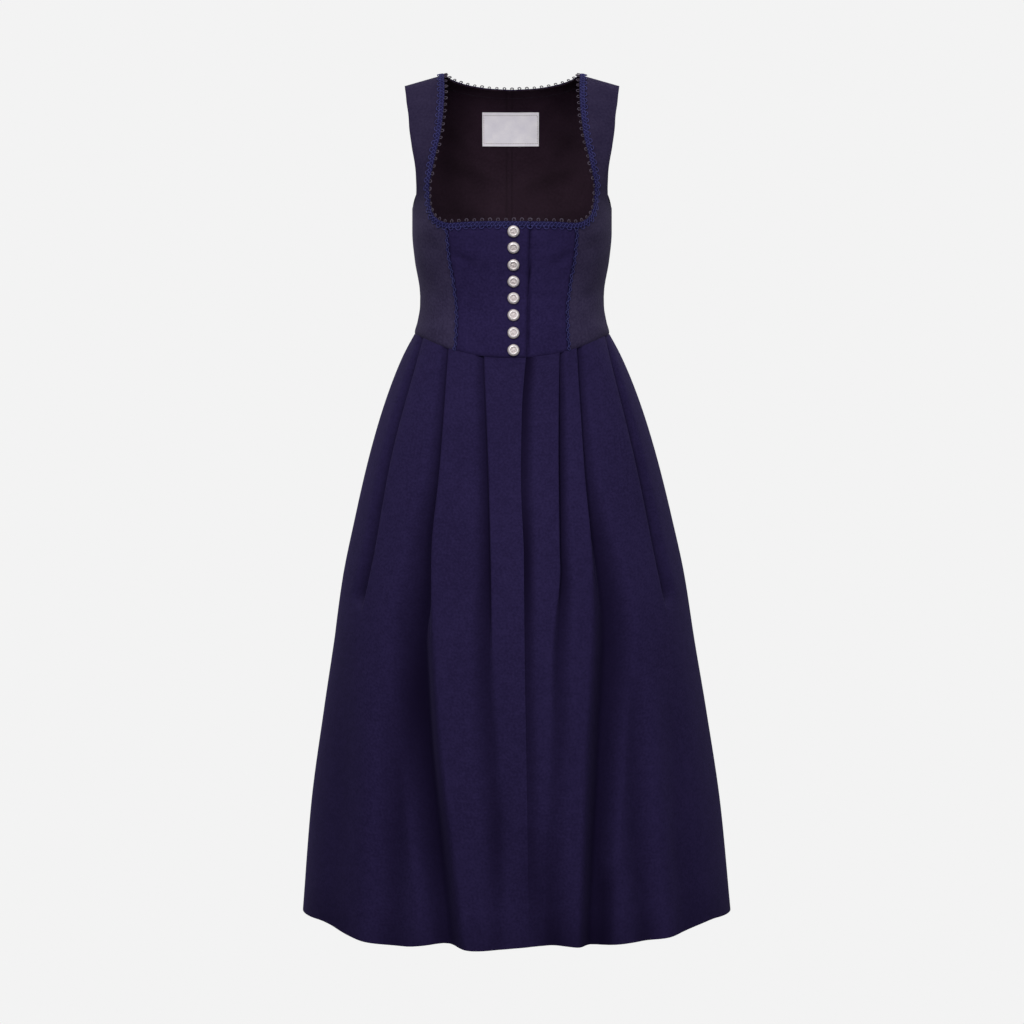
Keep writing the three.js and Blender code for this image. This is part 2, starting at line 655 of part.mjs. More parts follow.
// Half a section of the skirt, on the front or the back, as points at known distances from the centre line.
function halfSection(drop, front) {
  const halfWidth = columnAt(SKIRT_SECTIONS, 'drop', drop, 'halfWidth');
  const depth = columnAt(SKIRT_SECTIONS, 'drop', drop, front ? 'front' : 'back');
  const power = 2 / columnAt(SKIRT_SECTIONS, 'drop', drop, 'squareness');
  const points = [];
  let distance = 0;
  for (let i = 0; i <= SECTION_STEPS; i++) {
    const turn = (i / SECTION_STEPS) * (Math.PI / 2);
    const x = halfWidth * Math.sin(turn) ** power;
    const y = depth * Math.max(0, Math.cos(turn)) ** power * (front ? -1 : 1);
    const before = points[i - 1];
    if (before) distance += Math.hypot(x - before.x, y - before.y);
    points.push({ x, y, distance, angle: front ? turn : Math.PI - turn });
  }
  return points;
}

// The place on a half section at a distance from the centre line, which may lie across it.
function sectionPlace(section, distance) {
  const side = Math.sign(distance) || 1;
  const found = section.findIndex((point) => point.distance > Math.abs(distance));
  const i = found === -1 ? section.length - 1 : Math.max(1, found);
  const from = section[i - 1];
  const to = section[i];
  const share = (Math.abs(distance) - from.distance) / (to.distance - from.distance);
  const along = new THREE.Vector2(to.x - from.x, to.y - from.y).normalize();
  const outwards = from.y + to.y < 0 ? -1 : 1;
  return {
    x: side * lerp(from.x, to.x, share),
    y: lerp(from.y, to.y, share),
    normal: new THREE.Vector2(-along.y * outwards * side, along.x * outwards),
    angle: lerp(from.angle, to.angle, share),
  };
}

// The distance from the centre line at which a half section shows at x.
function distanceAtX(section, x) {
  const found = section.findIndex((point) => point.x > Math.abs(x));
  const i = found === -1 ? section.length - 1 : Math.max(1, found);
  const share = (Math.abs(x) - section[i - 1].x) / (section[i].x - section[i - 1].x);
  return Math.sign(x) * lerp(section[i - 1].distance, section[i].distance, share);
}

// A pleat's size at a drop: where its folded edge lies, the cloth that it hides, its depth and its wave's reach.
function pleatAt(pleat, section, drop) {
  const edge = [
    { drop: 0, x: pleat.waist },
    { drop: HIP, x: pleat.hip },
    { drop: KNEE, x: pleat.knee },
    { drop: 1, x: pleat.hem },
  ];
  const depths = [
    { drop: 0, depth: WAIST_PLEAT_DEPTH },
    ...[HIP, KNEE, CALF, 1].map((at, i) => ({ drop: at, depth: pleat.depths[i] })),
  ];
  const lap = pleat.lap * (1 - drop / pleat.opens);
  return {
    crest: distanceAtX(section, columnAt(edge, 'drop', drop, 'x')),
    depth: columnAt(depths, 'drop', drop, 'depth'),
    lap,
    folded: lap > LEAST_LAP,
    reach: lerp(pleat.reach / 2, pleat.reach, smoothstep(drop, pleat.opens, 1)),
  };
}

// The three layers of a folded pleat, as distances beyond its edge and shares of its depth.
function foldedShape(lap) {
  const turn = FOLD_RADIUS;
  return [
    { along: -lap - FOLD_LEAD_IN, down: 0 },
    { along: -turn, down: 0 },
    { along: 0, down: 0.25 },
    { along: -turn, down: 0.5 },
    { along: -lap + turn, down: 0.5 },
    { along: -lap, down: 0.75 },
    { along: -lap + turn, down: 1 },
    { along: 0.5, down: 1 },
  ];
}

// The round that the cloth takes through the pleats of half a section, from its start to the side seam, as
// distances from the centre line and depths below the section.
function pleatedRound(start, pleats, end) {
  const route = [...start];
  let valley = route[route.length - 1];
  const rise = (to, steps, count) => {
    for (let i = 1; i <= count; i++) {
      const share = i / steps;
      const depth = (valley.depth * (1 + Math.cos(Math.PI * share))) / 2;
      route.push({ distance: lerp(valley.distance, to, share), depth });
    }
  };
  for (const { crest, depth, lap, folded, reach } of pleats) {
    if (folded) {
      rise(crest - lap - FOLD_LEAD_IN, PANEL_STEPS, PANEL_STEPS - 1);
      for (const { along, down } of foldedShape(lap)) {
        route.push({ distance: crest + along, depth: depth * down });
      }
    } else {
      rise(crest, PANEL_STEPS + 1, PANEL_STEPS + 1);
      for (let i = 1; i <= WAVE_STEPS; i++) {
        const share = i / WAVE_STEPS;
        const down = (1 - Math.cos(Math.PI * share)) / 2;
        route.push({ distance: crest + reach * share, depth: depth * down });
      }
    }
    valley = route[route.length - 1];
  }
  rise(end, PANEL_STEPS, PANEL_STEPS);
  return route;
}

// The two faces of the cloth along a round, whose highest points touch the section.
function clothFaces(section, drop, route) {
  const centre = route.map(({ distance, depth }) => {
    const { x, y, normal, angle } = sectionPlace(section, distance);
    const inwards = depth + SKIRT_CLOTH / 2;
    const z = lerp(waistHeight(angle) - WAIST_SEAM_GAP, hemHeight(angle), drop);
    return new THREE.Vector3(x - normal.x * inwards, y - normal.y * inwards, z);
  });
  const last = centre.length - 1;
  const across = (from, to) => new THREE.Vector3(to.y - from.y, from.x - to.x, 0).normalize();
  const mitres = centre.map((p, i) => {
    const before = across(centre[Math.max(0, i - 1)], centre[Math.max(1, i)]);
    const after = across(centre[Math.min(last - 1, i)], centre[Math.min(last, i + 1)]);
    const mean = before.clone().add(after).normalize();
    return mean.divideScalar(Math.max(0.6, mean.dot(after)));
  });
  const face = (offset) => centre.map((p, i) => p.clone().addScaledVector(mitres[i], offset));
  return [face(SKIRT_CLOTH / 2), face(-SKIRT_CLOTH / 2)];
}

// A skirt panel from its rings.
function skirtPanel(ring) {
  const rings = SKIRT_SECTIONS.map(({ drop }) => leant(drop, ring(drop))).reverse();
  return wall(rings.map((faces) => faces[0]), rings.map((faces) => faces[1]));
}

// The end of a half section, at the side seam.
function sideEnd(section) {
  return section[section.length - 1].distance - HALF_SEAM_GAP;
}

const mirrorRing = (faces) => faces.map((face) => face.map((p) => new THREE.Vector3(-p.x, p.y, p.z)));

// A ring moved to the wearer's left by the skirt's lean.
function leant(drop, faces) {
  const lean = new THREE.Vector3(columnAt(SKIRT_SECTIONS, 'drop', drop, 'lean'), 0, 0);
  return faces.map((face) => face.map((p) => p.clone().add(lean)));
}

function frontRightRing(drop) {
  const section = halfSection(drop, true);
  const edge = -distanceAtX(section, columnAt(OPENING, 'drop', drop, 'x'));
  const start = [{ distance: edge, depth: 0 }];
  const pleats = RIGHT_PLEATS.map((pleat) => pleatAt(pleat, section, drop));
  return mirrorRing(clothFaces(section, drop, pleatedRound(start, pleats, sideEnd(section))));
}

function frontLeftRing(drop) {
  const section = halfSection(drop, true);
  const edge = distanceAtX(section, columnAt(OPENING, 'drop', drop, 'x'));
  const underlap = columnAt(OPENING, 'drop', drop, 'underlap');
  const depth = columnAt(OPENING, 'drop', drop, 'step');
  const under = edge - underlap;
  const clear = edge + UNDERLAP_CLEAR;
  const start = [under, (under + clear) / 2, clear].map((distance) => ({ distance, depth }));
  const pleats = LEFT_PLEATS.map((pleat) => pleatAt(pleat, section, drop));
  return clothFaces(section, drop, pleatedRound(start, pleats, sideEnd(section)));
}

function backRing(drop) {
  const section = halfSection(drop, false);
  const start = [{ distance: 0, depth: 0 }];
  const pleats = BACK_PLEATS.map((pleat) => pleatAt(pleat, section, drop));
  const half = clothFaces(section, drop, pleatedRound(start, pleats, sideEnd(section)));
  return mirrorRing(half).map((face, i) => [...face.reverse().slice(0, -1), ...half[i]]);
}

addPiece('skirt_front_right', skirtPanel(frontRightRing), NAVY_WOOL);
addPiece('skirt_front_left', skirtPanel(frontLeftRing), NAVY_WOOL);
addPiece('skirt_back', skirtPanel(backRing), NAVY_WOOL);

export default dress;
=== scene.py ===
"""A long sleeveless folk dress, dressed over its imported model: wool, lining, braid, buttons and stitches.

Lengths are in millimetres in the makers' classes and in metres in the Blender meshes. +Z is up, +X is the
wearer's left and the front faces -Y. The origin is midway between the shoulder straps.
"""

import logging
import math
from dataclasses import dataclass, field
from enum import Enum
from functools import partial
from typing import Callable

import bmesh
import bpy
import numpy as np
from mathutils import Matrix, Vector


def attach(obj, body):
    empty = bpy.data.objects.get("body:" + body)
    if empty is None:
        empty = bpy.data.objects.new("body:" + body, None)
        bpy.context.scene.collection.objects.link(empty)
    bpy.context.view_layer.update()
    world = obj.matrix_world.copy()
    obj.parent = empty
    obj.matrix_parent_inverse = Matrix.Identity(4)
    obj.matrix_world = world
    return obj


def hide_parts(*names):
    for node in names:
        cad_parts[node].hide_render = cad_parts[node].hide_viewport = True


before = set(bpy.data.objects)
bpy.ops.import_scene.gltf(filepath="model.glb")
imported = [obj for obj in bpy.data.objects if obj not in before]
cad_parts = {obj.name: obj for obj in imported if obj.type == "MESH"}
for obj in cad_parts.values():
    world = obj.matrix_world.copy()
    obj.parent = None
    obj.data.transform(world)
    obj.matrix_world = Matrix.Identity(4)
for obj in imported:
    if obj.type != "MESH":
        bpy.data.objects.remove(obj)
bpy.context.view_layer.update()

log = logging.getLogger("dirndl")

Array = np.ndarray
Arrays = tuple[np.ndarray, ...]
Tree = bpy.types.NodeTree
Node = bpy.types.Node
Socket = bpy.types.NodeSocket
Material = bpy.types.Material
Mesh = bpy.types.Mesh
Piece = bpy.types.Object

MM = 0.001
BODY = "root"


class Side(Enum):
    """A side of the wearer, with the sign of x on it."""

    LEFT = 1
    RIGHT = -1

    @property
    def word(self) -> str:
        """The side's name in a piece's name."""
        return self.name.lower()

    def placed(self, places: Array) -> Array:
        """Places on the wearer's left, brought to this side."""
        return places * np.array([self.value, 1])


class Held(Enum):
    """How a piece of cloth is held."""

    GATHERED = "gathered"
    STRETCHED = "stretched"


class Slot(Enum):
    """The record's material slots."""

    WOOL = "wool"
    LINING = "lining"
    BRAID = "braid"
    LABEL = "label"
    BUTTON = "button"


# Curves through short tables


@dataclass(frozen=True)
class Course:
    """A smooth curve through the rows of a short table, with no overshoot between them."""

    keys: tuple[float, ...]
    values: tuple[float, ...]

    def at(self, places: Array | float) -> Array:
        """The curve's value at some places.

        Args:
            places: Places on the key's scale. Past either end the curve keeps its last value.

        Returns:
            One value for each place.
        """
        keys = np.array(self.keys, float)
        values = np.array(self.values, float)
        spans = np.diff(keys)
        steps = np.diff(values) / spans
        slopes = np.concatenate([steps[:1], steps])
        same_way = steps[:-1] * steps[1:]
        total = np.where(same_way > 0, steps[:-1] + steps[1:], 1)
        slopes[1:-1] = np.where(same_way > 0, 2 * same_way / total, 0)
        i = np.clip(np.searchsorted(keys, places, side="right") - 1, 0, len(keys) - 2)
        s = np.clip((places - keys[i]) / spans[i], 0, 1)
        rise = (3 - 2 * s) * s * s
        from_slope = (s * s * s - 2 * s * s + s) * slopes[i] * spans[i]
        to_slope = (s * s * s - s * s) * slopes[i + 1] * spans[i]
        return (1 - rise) * values[i] + from_slope + rise * values[i + 1] + to_slope


def told(keys: tuple, values: tuple, place: float) -> float:
    """One value of the curve through a short table."""
    return float(Course(keys, values).at(place))


def smoothstep(value: Array | float, low: float, high: float) -> Array:
    """A soft step from 0 at low to 1 at high."""
    s = np.clip((value - low) / (high - low), 0, 1)
    return s * s * (3 - 2 * s)


def signed_power(base: Array, power: float) -> Array:
    """A power that keeps the sign of its base."""
    return np.sign(base) * np.abs(base) ** power


def crowded(count: int, crowding: float = 0.8) -> Array:
    """Shares from 0 to 1 that lie closer together towards both ends."""
    t = np.linspace(0, 1, count)
    return t - crowding * np.sin(2 * math.pi * t) / (2 * math.pi)


def gathered_steps(points: Array, axis: int = 0) -> Array:
    """The distance along a line of points, or along each line of a grid, from its first one to each."""
    lengths = np.linalg.norm(np.diff(points, axis=axis), axis=-1)
    return np.insert(np.cumsum(lengths, axis=axis), 0, 0, axis=axis)


def unit(vectors: Array) -> Array:
    """Vectors of the same directions and of length 1."""
    return vectors / np.maximum(np.linalg.norm(vectors, axis=-1, keepdims=True), 1e-9)


def bell(distance: Array, width: float) -> Array:
    """A soft bump, 1 at no distance and almost 0 past twice its width."""
    return np.exp(-((distance / width) ** 2))


# Creases


@dataclass(frozen=True)
class Crease:
    """A soft trough or ridge along a line, fading out at both ends. A negative height is a trough."""

    start: tuple[float, float]
    end: tuple[float, float]
    width: float
    height: float

    def at(self, x: Array, z: Array) -> Array:
        """How far the crease moves the cloth outwards at some points.

        Args:
            x: Distances across the dress.
            z: Heights.

        Returns:
            The outward moves, in millimetres.
        """
        run = np.array([self.end[0] - self.start[0], self.end[1] - self.start[1]])
        length = float(np.hypot(*run))
        along = ((x - self.start[0]) * run[0] + (z - self.start[1]) * run[1]) / length
        across = ((x - self.start[0]) * run[1] - (z - self.start[1]) * run[0]) / length
        share = np.clip(along / length, 0, 1)
        past = along - share * length
        fade = np.sin(math.pi * np.clip(share * 0.9 + 0.05, 0, 1)) ** 0.8
        return self.height * fade * bell(across, self.width) * bell(past, self.width)


def creased(creases: tuple[Crease, ...], x: Array, z: Array) -> Array:
    """The outward move of several creases together."""
    return sum((crease.at(x, z) for crease in creases), np.zeros_like(x))


# Materials


class NodeTree:
    """Lays out the nodes of one tree."""

    def __init__(self, tree: Tree) -> None:
        """Takes the tree to fill."""
        self.tree = tree

    def add(self, kind: str, settings: dict | None = None, **inputs: object) -> Node:
        """Adds a node.

        Args:
            kind: The node's type.
            settings: Its properties by name.
            **inputs: Values or output sockets for its inputs, with _ for a space in a socket's name.

        Returns:
            The node.
        """
        node = self.tree.nodes.new(kind)
        for key, value in (settings or {}).items():
            setattr(node, key, value)
        self.fill(node, **inputs)
        return node

    def fill(self, node: Node, **inputs: object) -> None:
        """Sets or links the live inputs of a node that have these names."""
        for key, value in inputs.items():
            self.put(next(s for s in node.inputs if s.name == key.replace("_", " ") and s.enabled), value)

    def put(self, socket: Socket, value: object) -> None:
        """Sets or links one input.

        Args:
            socket: The input.
            value: A value, or an output socket to link.
        """
        if isinstance(value, Socket):
            self.tree.links.new(value, socket)
        else:
            socket.default_value = value

    def math(self, operation: str, *values: object, kind: str = "ShaderNodeMath") -> Socket:
        """A calculation of one to three values.

        Args:
            operation: Blender's name for it.
            *values: Numbers, vectors or sockets.
            kind: The type of its node.

        Returns:
            The result's socket.
        """
        node = self.add(kind, {"operation": operation})
        for socket, value in zip(node.inputs, values):
            self.put(socket, value)
        return node.outputs[0]


class Finish(NodeTree):
    """Lays out the nodes of one material."""

    def __init__(self, name: str) -> None:
        """Starts an empty material with its shader and output.

        Args:
            name: The material's name.
        """
        self.material = bpy.data.materials.new(name)
        self.material.use_nodes = True
        super().__init__(self.material.node_tree)
        self.tree.nodes.clear()
        self.shader = self.add("ShaderNodeBsdfPrincipled")
        self.add("ShaderNodeOutputMaterial", Surface=self.shader.outputs["BSDF"])

    def mixed(self, first: Socket, much: float, second: Socket, more: float) -> Socket:
        """The sum of two values, each taken some number of times."""
        return self.math("ADD", self.math("MULTIPLY", first, much), self.math("MULTIPLY", second, more))

    def blend(self, share: Socket, low: tuple, high: tuple) -> Socket:
        """A colour between two, by a share from 0 to 1."""
        node = self.add("ShaderNodeMix", {"data_type": "RGBA"}, Factor=share, A=low, B=high)
        return next(s for s in node.outputs if s.enabled)

    def ranged(self, value: Socket, low: float, high: float) -> Socket:
        """A value spread so that low becomes 0 and high becomes 1, and kept within them."""
        node = self.add("ShaderNodeMapRange", Value=value, From_Min=low, From_Max=high)
        return node.outputs["Result"]

    def noise(self, vector: Socket, size: float, detail: float = 2.0) -> Socket:
        """Cloudy noise whose features are about a size in metres."""
        node = self.add("ShaderNodeTexNoise", Vector=vector, Scale=1 / size, Detail=detail)
        return node.outputs["Fac"]

    def waves(self, vector: Socket, pitch: float, direction: str) -> Socket:
        """Parallel waves of a pitch in metres, a little uneven as yarn is.

        Args:
            vector: The places.
            pitch: The distance from wave to wave.
            direction: X, Y or DIAGONAL.

        Returns:
            The waves' height, from 0 to 1.
        """
        node = self.add(
            "ShaderNodeTexWave", {"wave_type": "BANDS", "bands_direction": direction}, Vector=vector,
            Scale=0.314 / pitch * (1 if direction != "DIAGONAL" else 1.4142), Distortion=0.6, Detail=1.0,
            Detail_Scale=0.6,
        )
        return node.outputs["Fac"]

    def relief(self, height: Socket, depth: float, strength: float = 1.0) -> None:
        """Gives the shader a bumpy surface of a depth in metres."""
        bump = self.add("ShaderNodeBump", Height=height, Distance=depth, Strength=strength)
        self.fill(self.shader, Normal=bump.outputs["Normal"])

    def cloth_map(self) -> Socket:
        """The cloth's own map, in metres across and along it."""
        return self.add("ShaderNodeUVMap", {"uv_map": "cloth"}).outputs["UV"]

    def object_map(self) -> Socket:
        """Places on the object, in metres."""
        return self.add("ShaderNodeTexCoord").outputs["Object"]

    def hollows(self) -> Socket:
        """The shade painted into the cloth's colour in its folds, creases and seams, from 0 to 1."""
        return self.add("ShaderNodeAttribute", {"attribute_name": "shade"}).outputs["Fac"]


@dataclass(frozen=True)
class WoolFinish:
    """Fine wool twill: matt, with a soft nap that greys it where it turns away."""

    name: str = "navy_wool"
    dark: tuple = (0.0150, 0.0104, 0.0430, 1)
    light: tuple = (0.0290, 0.0204, 0.0790, 1)
    # deep: the colour of the painted shade in folds, creases and seams
    deep: tuple = (0.0055, 0.0034, 0.0150, 1)
    nap: float = 0.07
    nap_tint: tuple = (0.40, 0.32, 0.85, 1)
    gloss_tint: tuple = (0.45, 0.36, 1.0, 1)
    mottle: float = 0.011
    twill_pitch: float = 0.0011
    roughness: float = 0.88

    def material(self) -> Material:
        """Builds the material.

        Returns:
            The material.
        """
        finish = Finish(self.name)
        cloth = finish.cloth_map()
        place = finish.object_map()
        twill = finish.waves(cloth, self.twill_pitch, "DIAGONAL")
        weft = finish.waves(cloth, self.twill_pitch * 0.62, "Y")
        fibre = finish.noise(cloth, 0.0016, 4)
        slub = finish.noise(cloth, 0.0034, 2)
        mottle = finish.noise(place, self.mottle, 3)
        wear = finish.noise(place, 0.14, 2)
        yarn = finish.mixed(twill, 0.3, slub, 0.7)
        cloudy = finish.mixed(mottle, 0.55, wear, 0.45)
        tone = finish.mixed(yarn, 0.6, cloudy, 0.4)
        colour = finish.blend(finish.ranged(tone, 0.36, 0.64), self.dark, self.light)
        # The base colour is darkened towards deep by the painted shade of folds, creases and seams.
        finish.fill(
            finish.shader, Base_Color=finish.blend(finish.hollows(), colour, self.deep),
            Roughness=self.roughness, Specular_IOR_Level=0.1, Specular_Tint=self.gloss_tint,
            Sheen_Weight=self.nap, Sheen_Roughness=0.45, Sheen_Tint=self.nap_tint,
        )
        surface = finish.mixed(finish.mixed(twill, 0.6, weft, 0.15), 1.0, fibre, 0.5)
        finish.relief(surface, 0.00022, 0.55)
        return finish.material


@dataclass(frozen=True)
class LiningFinish:
    """Smooth dark lining of fine plain weave, with a faint gloss along its threads."""

    name: str = "dark_lining"
    dark: tuple = (0.0098, 0.0049, 0.0091, 1)
    light: tuple = (0.0182, 0.0095, 0.0168, 1)
    # deep: the colour of the painted shade in the lining's creases and seam
    deep: tuple = (0.0035, 0.0018, 0.0032, 1)

    def material(self) -> Material:
        """Builds the material.

        Returns:
            The material.
        """
        finish = Finish(self.name)
        cloth = finish.cloth_map()
        warp = finish.waves(cloth, 0.0007, "X")
        weft = finish.waves(cloth, 0.0008, "Y")
        slub = finish.noise(cloth, 0.0036, 3)
        crumple = finish.noise(finish.object_map(), 0.035, 3)
        weave = finish.math("MULTIPLY", warp, weft)
        tone = finish.mixed(slub, 0.5, crumple, 0.5)
        colour = finish.blend(finish.ranged(tone, 0.34, 0.66), self.dark, self.light)
        # The base colour is darkened towards deep by the painted shade of the creases and seam.
        finish.fill(
            finish.shader, Base_Color=finish.blend(finish.hollows(), colour, self.deep), Roughness=0.6,
            Specular_IOR_Level=0.12, Specular_Tint=(1.0, 0.62, 0.86, 1), Anisotropic=0.35,
        )
        finish.relief(finish.mixed(weave, 0.2, crumple, 1.0), 0.0009, 0.5)
        return finish.material


@dataclass(frozen=True)
class YarnFinish:
    """Twisted cotton yarn, for the crochet braid and the sewing thread."""

    name: str
    dark: tuple
    light: tuple
    twist: float = 0.0009
    roughness: float = 0.72

    def material(self) -> Material:
        """Builds the material.

        Returns:
            The material.
        """
        finish = Finish(self.name)
        place = finish.object_map()
        strands = finish.waves(place, self.twist, "DIAGONAL")
        fluff = finish.noise(place, 0.0012, 3)
        patches = finish.noise(place, 0.009, 2)
        tone = finish.mixed(strands, 0.35, patches, 0.65)
        finish.fill(
            finish.shader,
            Base_Color=finish.blend(finish.ranged(tone, 0.25, 0.75), self.dark, self.light),
            Roughness=self.roughness, Specular_IOR_Level=0.15, Sheen_Weight=0.05, Sheen_Roughness=0.4,
        )
        finish.relief(finish.math("ADD", strands, fluff), 0.00018, 0.7)
        return finish.material


@dataclass(frozen=True)
class LabelFinish:
    """Woven satin ribbon in pale lilac grey, slightly cloudy."""

    name: str = "label_satin"
    dark: tuple = (0.77, 0.73, 0.82, 1)
    light: tuple = (0.93, 0.89, 0.94, 1)

    def material(self) -> Material:
        """Builds the material.

        Returns:
            The material.
        """
        finish = Finish(self.name)
        cloth = finish.cloth_map()
        ribs = finish.waves(cloth, 0.0006, "Y")
        clouds = finish.noise(cloth, 0.018, 2)
        fine = finish.noise(cloth, 0.0015, 3)
        tone = finish.mixed(clouds, 0.7, fine, 0.3)
        finish.fill(
            finish.shader, Base_Color=finish.blend(finish.ranged(tone, 0.3, 0.7), self.dark, self.light),
            Roughness=0.42, Specular_IOR_Level=0.4, Anisotropic=0.4,
        )
        finish.relief(finish.math("ADD", ribs, fine), 0.00012, 0.6)
        return finish.material


@dataclass(frozen=True)
class SilverFinish:
    """Silvered metal in relief, bright where it is rubbed and grey in its hollows."""

    name: str = "button_silver"
    hollow: tuple = (0.50, 0.42, 0.42, 1)
    rubbed: tuple = (1.0, 0.95, 0.96, 1)

    def material(self) -> Material:
        """Builds the material.

        Returns:
            The material.
        """
        finish = Finish(self.name)
        place = finish.object_map()
        tarnish = finish.add("ShaderNodeVertexColor", {"layer_name": "rubbed"}).outputs["Color"]
        grime = finish.noise(place, 0.0012, 4)
        share = finish.mixed(tarnish, 1.0, finish.math("SUBTRACT", grime, 0.5), 0.35)
        finish.fill(
            finish.shader,
            Base_Color=finish.blend(finish.ranged(share, 0.0, 1.0), self.hollow, self.rubbed),
            Metallic=0.4,
            Roughness=finish.math("SUBTRACT", 0.55, finish.math("MULTIPLY", tarnish, 0.22)),
        )
        finish.relief(grime, 0.00012, 0.5)
        return finish.material


class Wardrobe:
    """Every finish of the dress, built once."""

    def __init__(self) -> None:
        """Builds the materials."""
        self.centre_wool = WoolFinish("navy_wool_centre").material()
        # The side panels' wool is the same cloth, painted lighter and greyer than the centre's as a painted
        # sheen where the panels turn away.
        self.side_wool = WoolFinish(
            "navy_wool_side", dark=(0.0230, 0.0172, 0.0440, 1), light=(0.0500, 0.0400, 0.0860, 1),
            nap=0.08, nap_tint=(0.50, 0.45, 0.75, 1), mottle=0.024,
        ).material()
        self.strap_wool = WoolFinish(
            "navy_wool_back", dark=(0.0150, 0.0108, 0.0420, 1), light=(0.0280, 0.0205, 0.0740, 1)
        ).material()
        self.skirt_wool = WoolFinish(
            "navy_wool_skirt", dark=(0.0138, 0.0097, 0.0382, 1), light=(0.0262, 0.0188, 0.0690, 1)
        ).material()
        self.lining = LiningFinish().material()
        self.braid_ground = self.yarn("braid_ground", (0.0065, 0.0045, 0.036, 1), (0.011, 0.0085, 0.060, 1))
        self.braid_yarn = self.yarn("braid_yarn", (0.025, 0.025, 0.115, 1), (0.064, 0.062, 0.220, 1))
        self.picot_yarn = self.yarn("picot_yarn", (0.040, 0.030, 0.055, 1), (0.100, 0.080, 0.110, 1))
        self.dark_thread = self.yarn("dark_thread", (0.010, 0.007, 0.016, 1), (0.020, 0.014, 0.026, 1))
        self.label_thread = self.yarn("label_thread", (0.16, 0.13, 0.10, 1), (0.30, 0.26, 0.20, 1))
        self.label = LabelFinish().material()
        self.silver = SilverFinish().material()

    def yarn(self, name: str, dark: tuple, light: tuple) -> Material:
        """A yarn's material."""
        return YarnFinish(name, dark, light).material()


# Meshes


def in_scene(name: str, data: bpy.types.ID) -> Piece:
    """Puts a new object in the scene.

    Args:
        name: Its name.
        data: Its mesh, lamp or camera.

    Returns:
        The object.
    """
    made = bpy.data.objects.new(name, data)
    bpy.context.scene.collection.objects.link(made)
    return made


def piece_object(name: str, mesh: Mesh, nodes: tuple[str, ...] = ()) -> Piece:
    """Puts a finished mesh in the scene as a piece that moves with the dress.

    Args:
        name: The piece's name.
        mesh: Its mesh, in metres.
        nodes: The CAD nodes that it stands for.

    Returns:
        The object.
    """
    piece = in_scene(name, mesh)
    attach(piece, BODY)
    if nodes:
        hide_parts(*nodes)
    log.info("%s: %d faces", name, len(mesh.polygons))
    return piece


@dataclass
class ClothShell:
    """A closed thin shell of cloth from the grids of its two faces, in millimetres."""

    name: str
    outer: Array
    inner: Array
    right_side: Material
    wrong_side: Material
    # shade: the painted shade at each point, from 0 to 1
    shade: Array | None = None

    def faces(self) -> tuple[Array, Array]:
        """The shell's quads.

        Returns:
            The quads' corners, and for each the finish's number, 0 for the right side and the edges.
        """
        rows, columns = self.outer.shape[:2]
        index = np.arange(rows * columns).reshape(rows, columns)
        a, b, c, d = index[:-1, :-1], index[:-1, 1:], index[1:, 1:], index[1:, :-1]
        front = np.stack([a, b, c, d], axis=-1).reshape(-1, 4)
        behind = front[:, ::-1] + rows * columns
        rims = []
        for line in (index[0], index[:, -1], index[-1, ::-1], index[::-1, 0]):
            near, far = line[:-1], line[1:]
            rims.append(np.stack([far, near, near + rows * columns, far + rows * columns], axis=-1))
        rim = np.concatenate(rims)
        quads = np.concatenate([front, behind, rim])
        finish = np.zeros(len(quads), int)
        finish[len(front) : len(front) + len(behind)] = 1
        return quads, finish

    def cloth_places(self) -> Array:
        """Each point's place on the cloth, in metres across from its middle column and along it.

        Returns:
            One place for each point, row by row.
        """
        across = gathered_steps(self.outer, 1)
        half = across[:, across.shape[1] // 2][:, None]
        along = gathered_steps(self.outer).mean(axis=1)[:, None] + np.zeros_like(across)
        return np.stack([across - half, along], axis=-1).reshape(-1, 2) * MM

    def mesh(self) -> Mesh:
        """Builds the shell's mesh, in metres, with its faces outwards and the cloth's map.

        Returns:
            The mesh.
        """
        points = np.concatenate([self.outer.reshape(-1, 3), self.inner.reshape(-1, 3)]) * MM
        quads, finish = self.faces()
        a, b, c, d = (points[quads[:, k]] for k in range(4))
        volume = np.einsum("ij,ij->", a, np.cross(b, c)) + np.einsum("ij,ij->", a, np.cross(c, d))
        if volume < 0:
            quads = quads[:, ::-1]
        mesh = bpy.data.meshes.new(self.name)
        mesh.from_pydata(points.tolist(), [], quads.tolist())
        mesh.materials.append(self.right_side)
        mesh.materials.append(self.wrong_side)
        mesh.polygons.foreach_set("material_index", finish)
        mesh.shade_smooth()
        places = np.tile(self.cloth_places(), (2, 1))[quads.reshape(-1)]
        mesh.uv_layers.new(name="cloth").data.foreach_set("uv", places.reshape(-1))
        # The painted shade of folds, creases and seams, which darkens the cloth's colour.
        if self.shade is not None:
            shade = np.tile(self.shade.reshape(-1), 2).astype(np.float32)
            mesh.attributes.new("shade", "FLOAT", "POINT").data.foreach_set("value", shade)
        mesh.update()
        mesh.set_sharp_from_angle(angle=math.radians(60))
        return mesh

    def piece(
        self, slot: Slot, nodes: tuple[str, ...], held: Held, rests_on: tuple[str, ...] = ()
    ) -> Piece:
        """Args:
            slot: The record's slot. It is not used.
            nodes: The CAD nodes that it stands for.
            held: How the cloth is held. It is not used.
            rests_on: The pieces or nodes that it lies on or hangs from. It is not used.

        Returns:
            The piece.
        """
        piece = piece_object(self.name, self.mesh(), nodes)
        return piece


# Repeated trims, made by Geometry Nodes


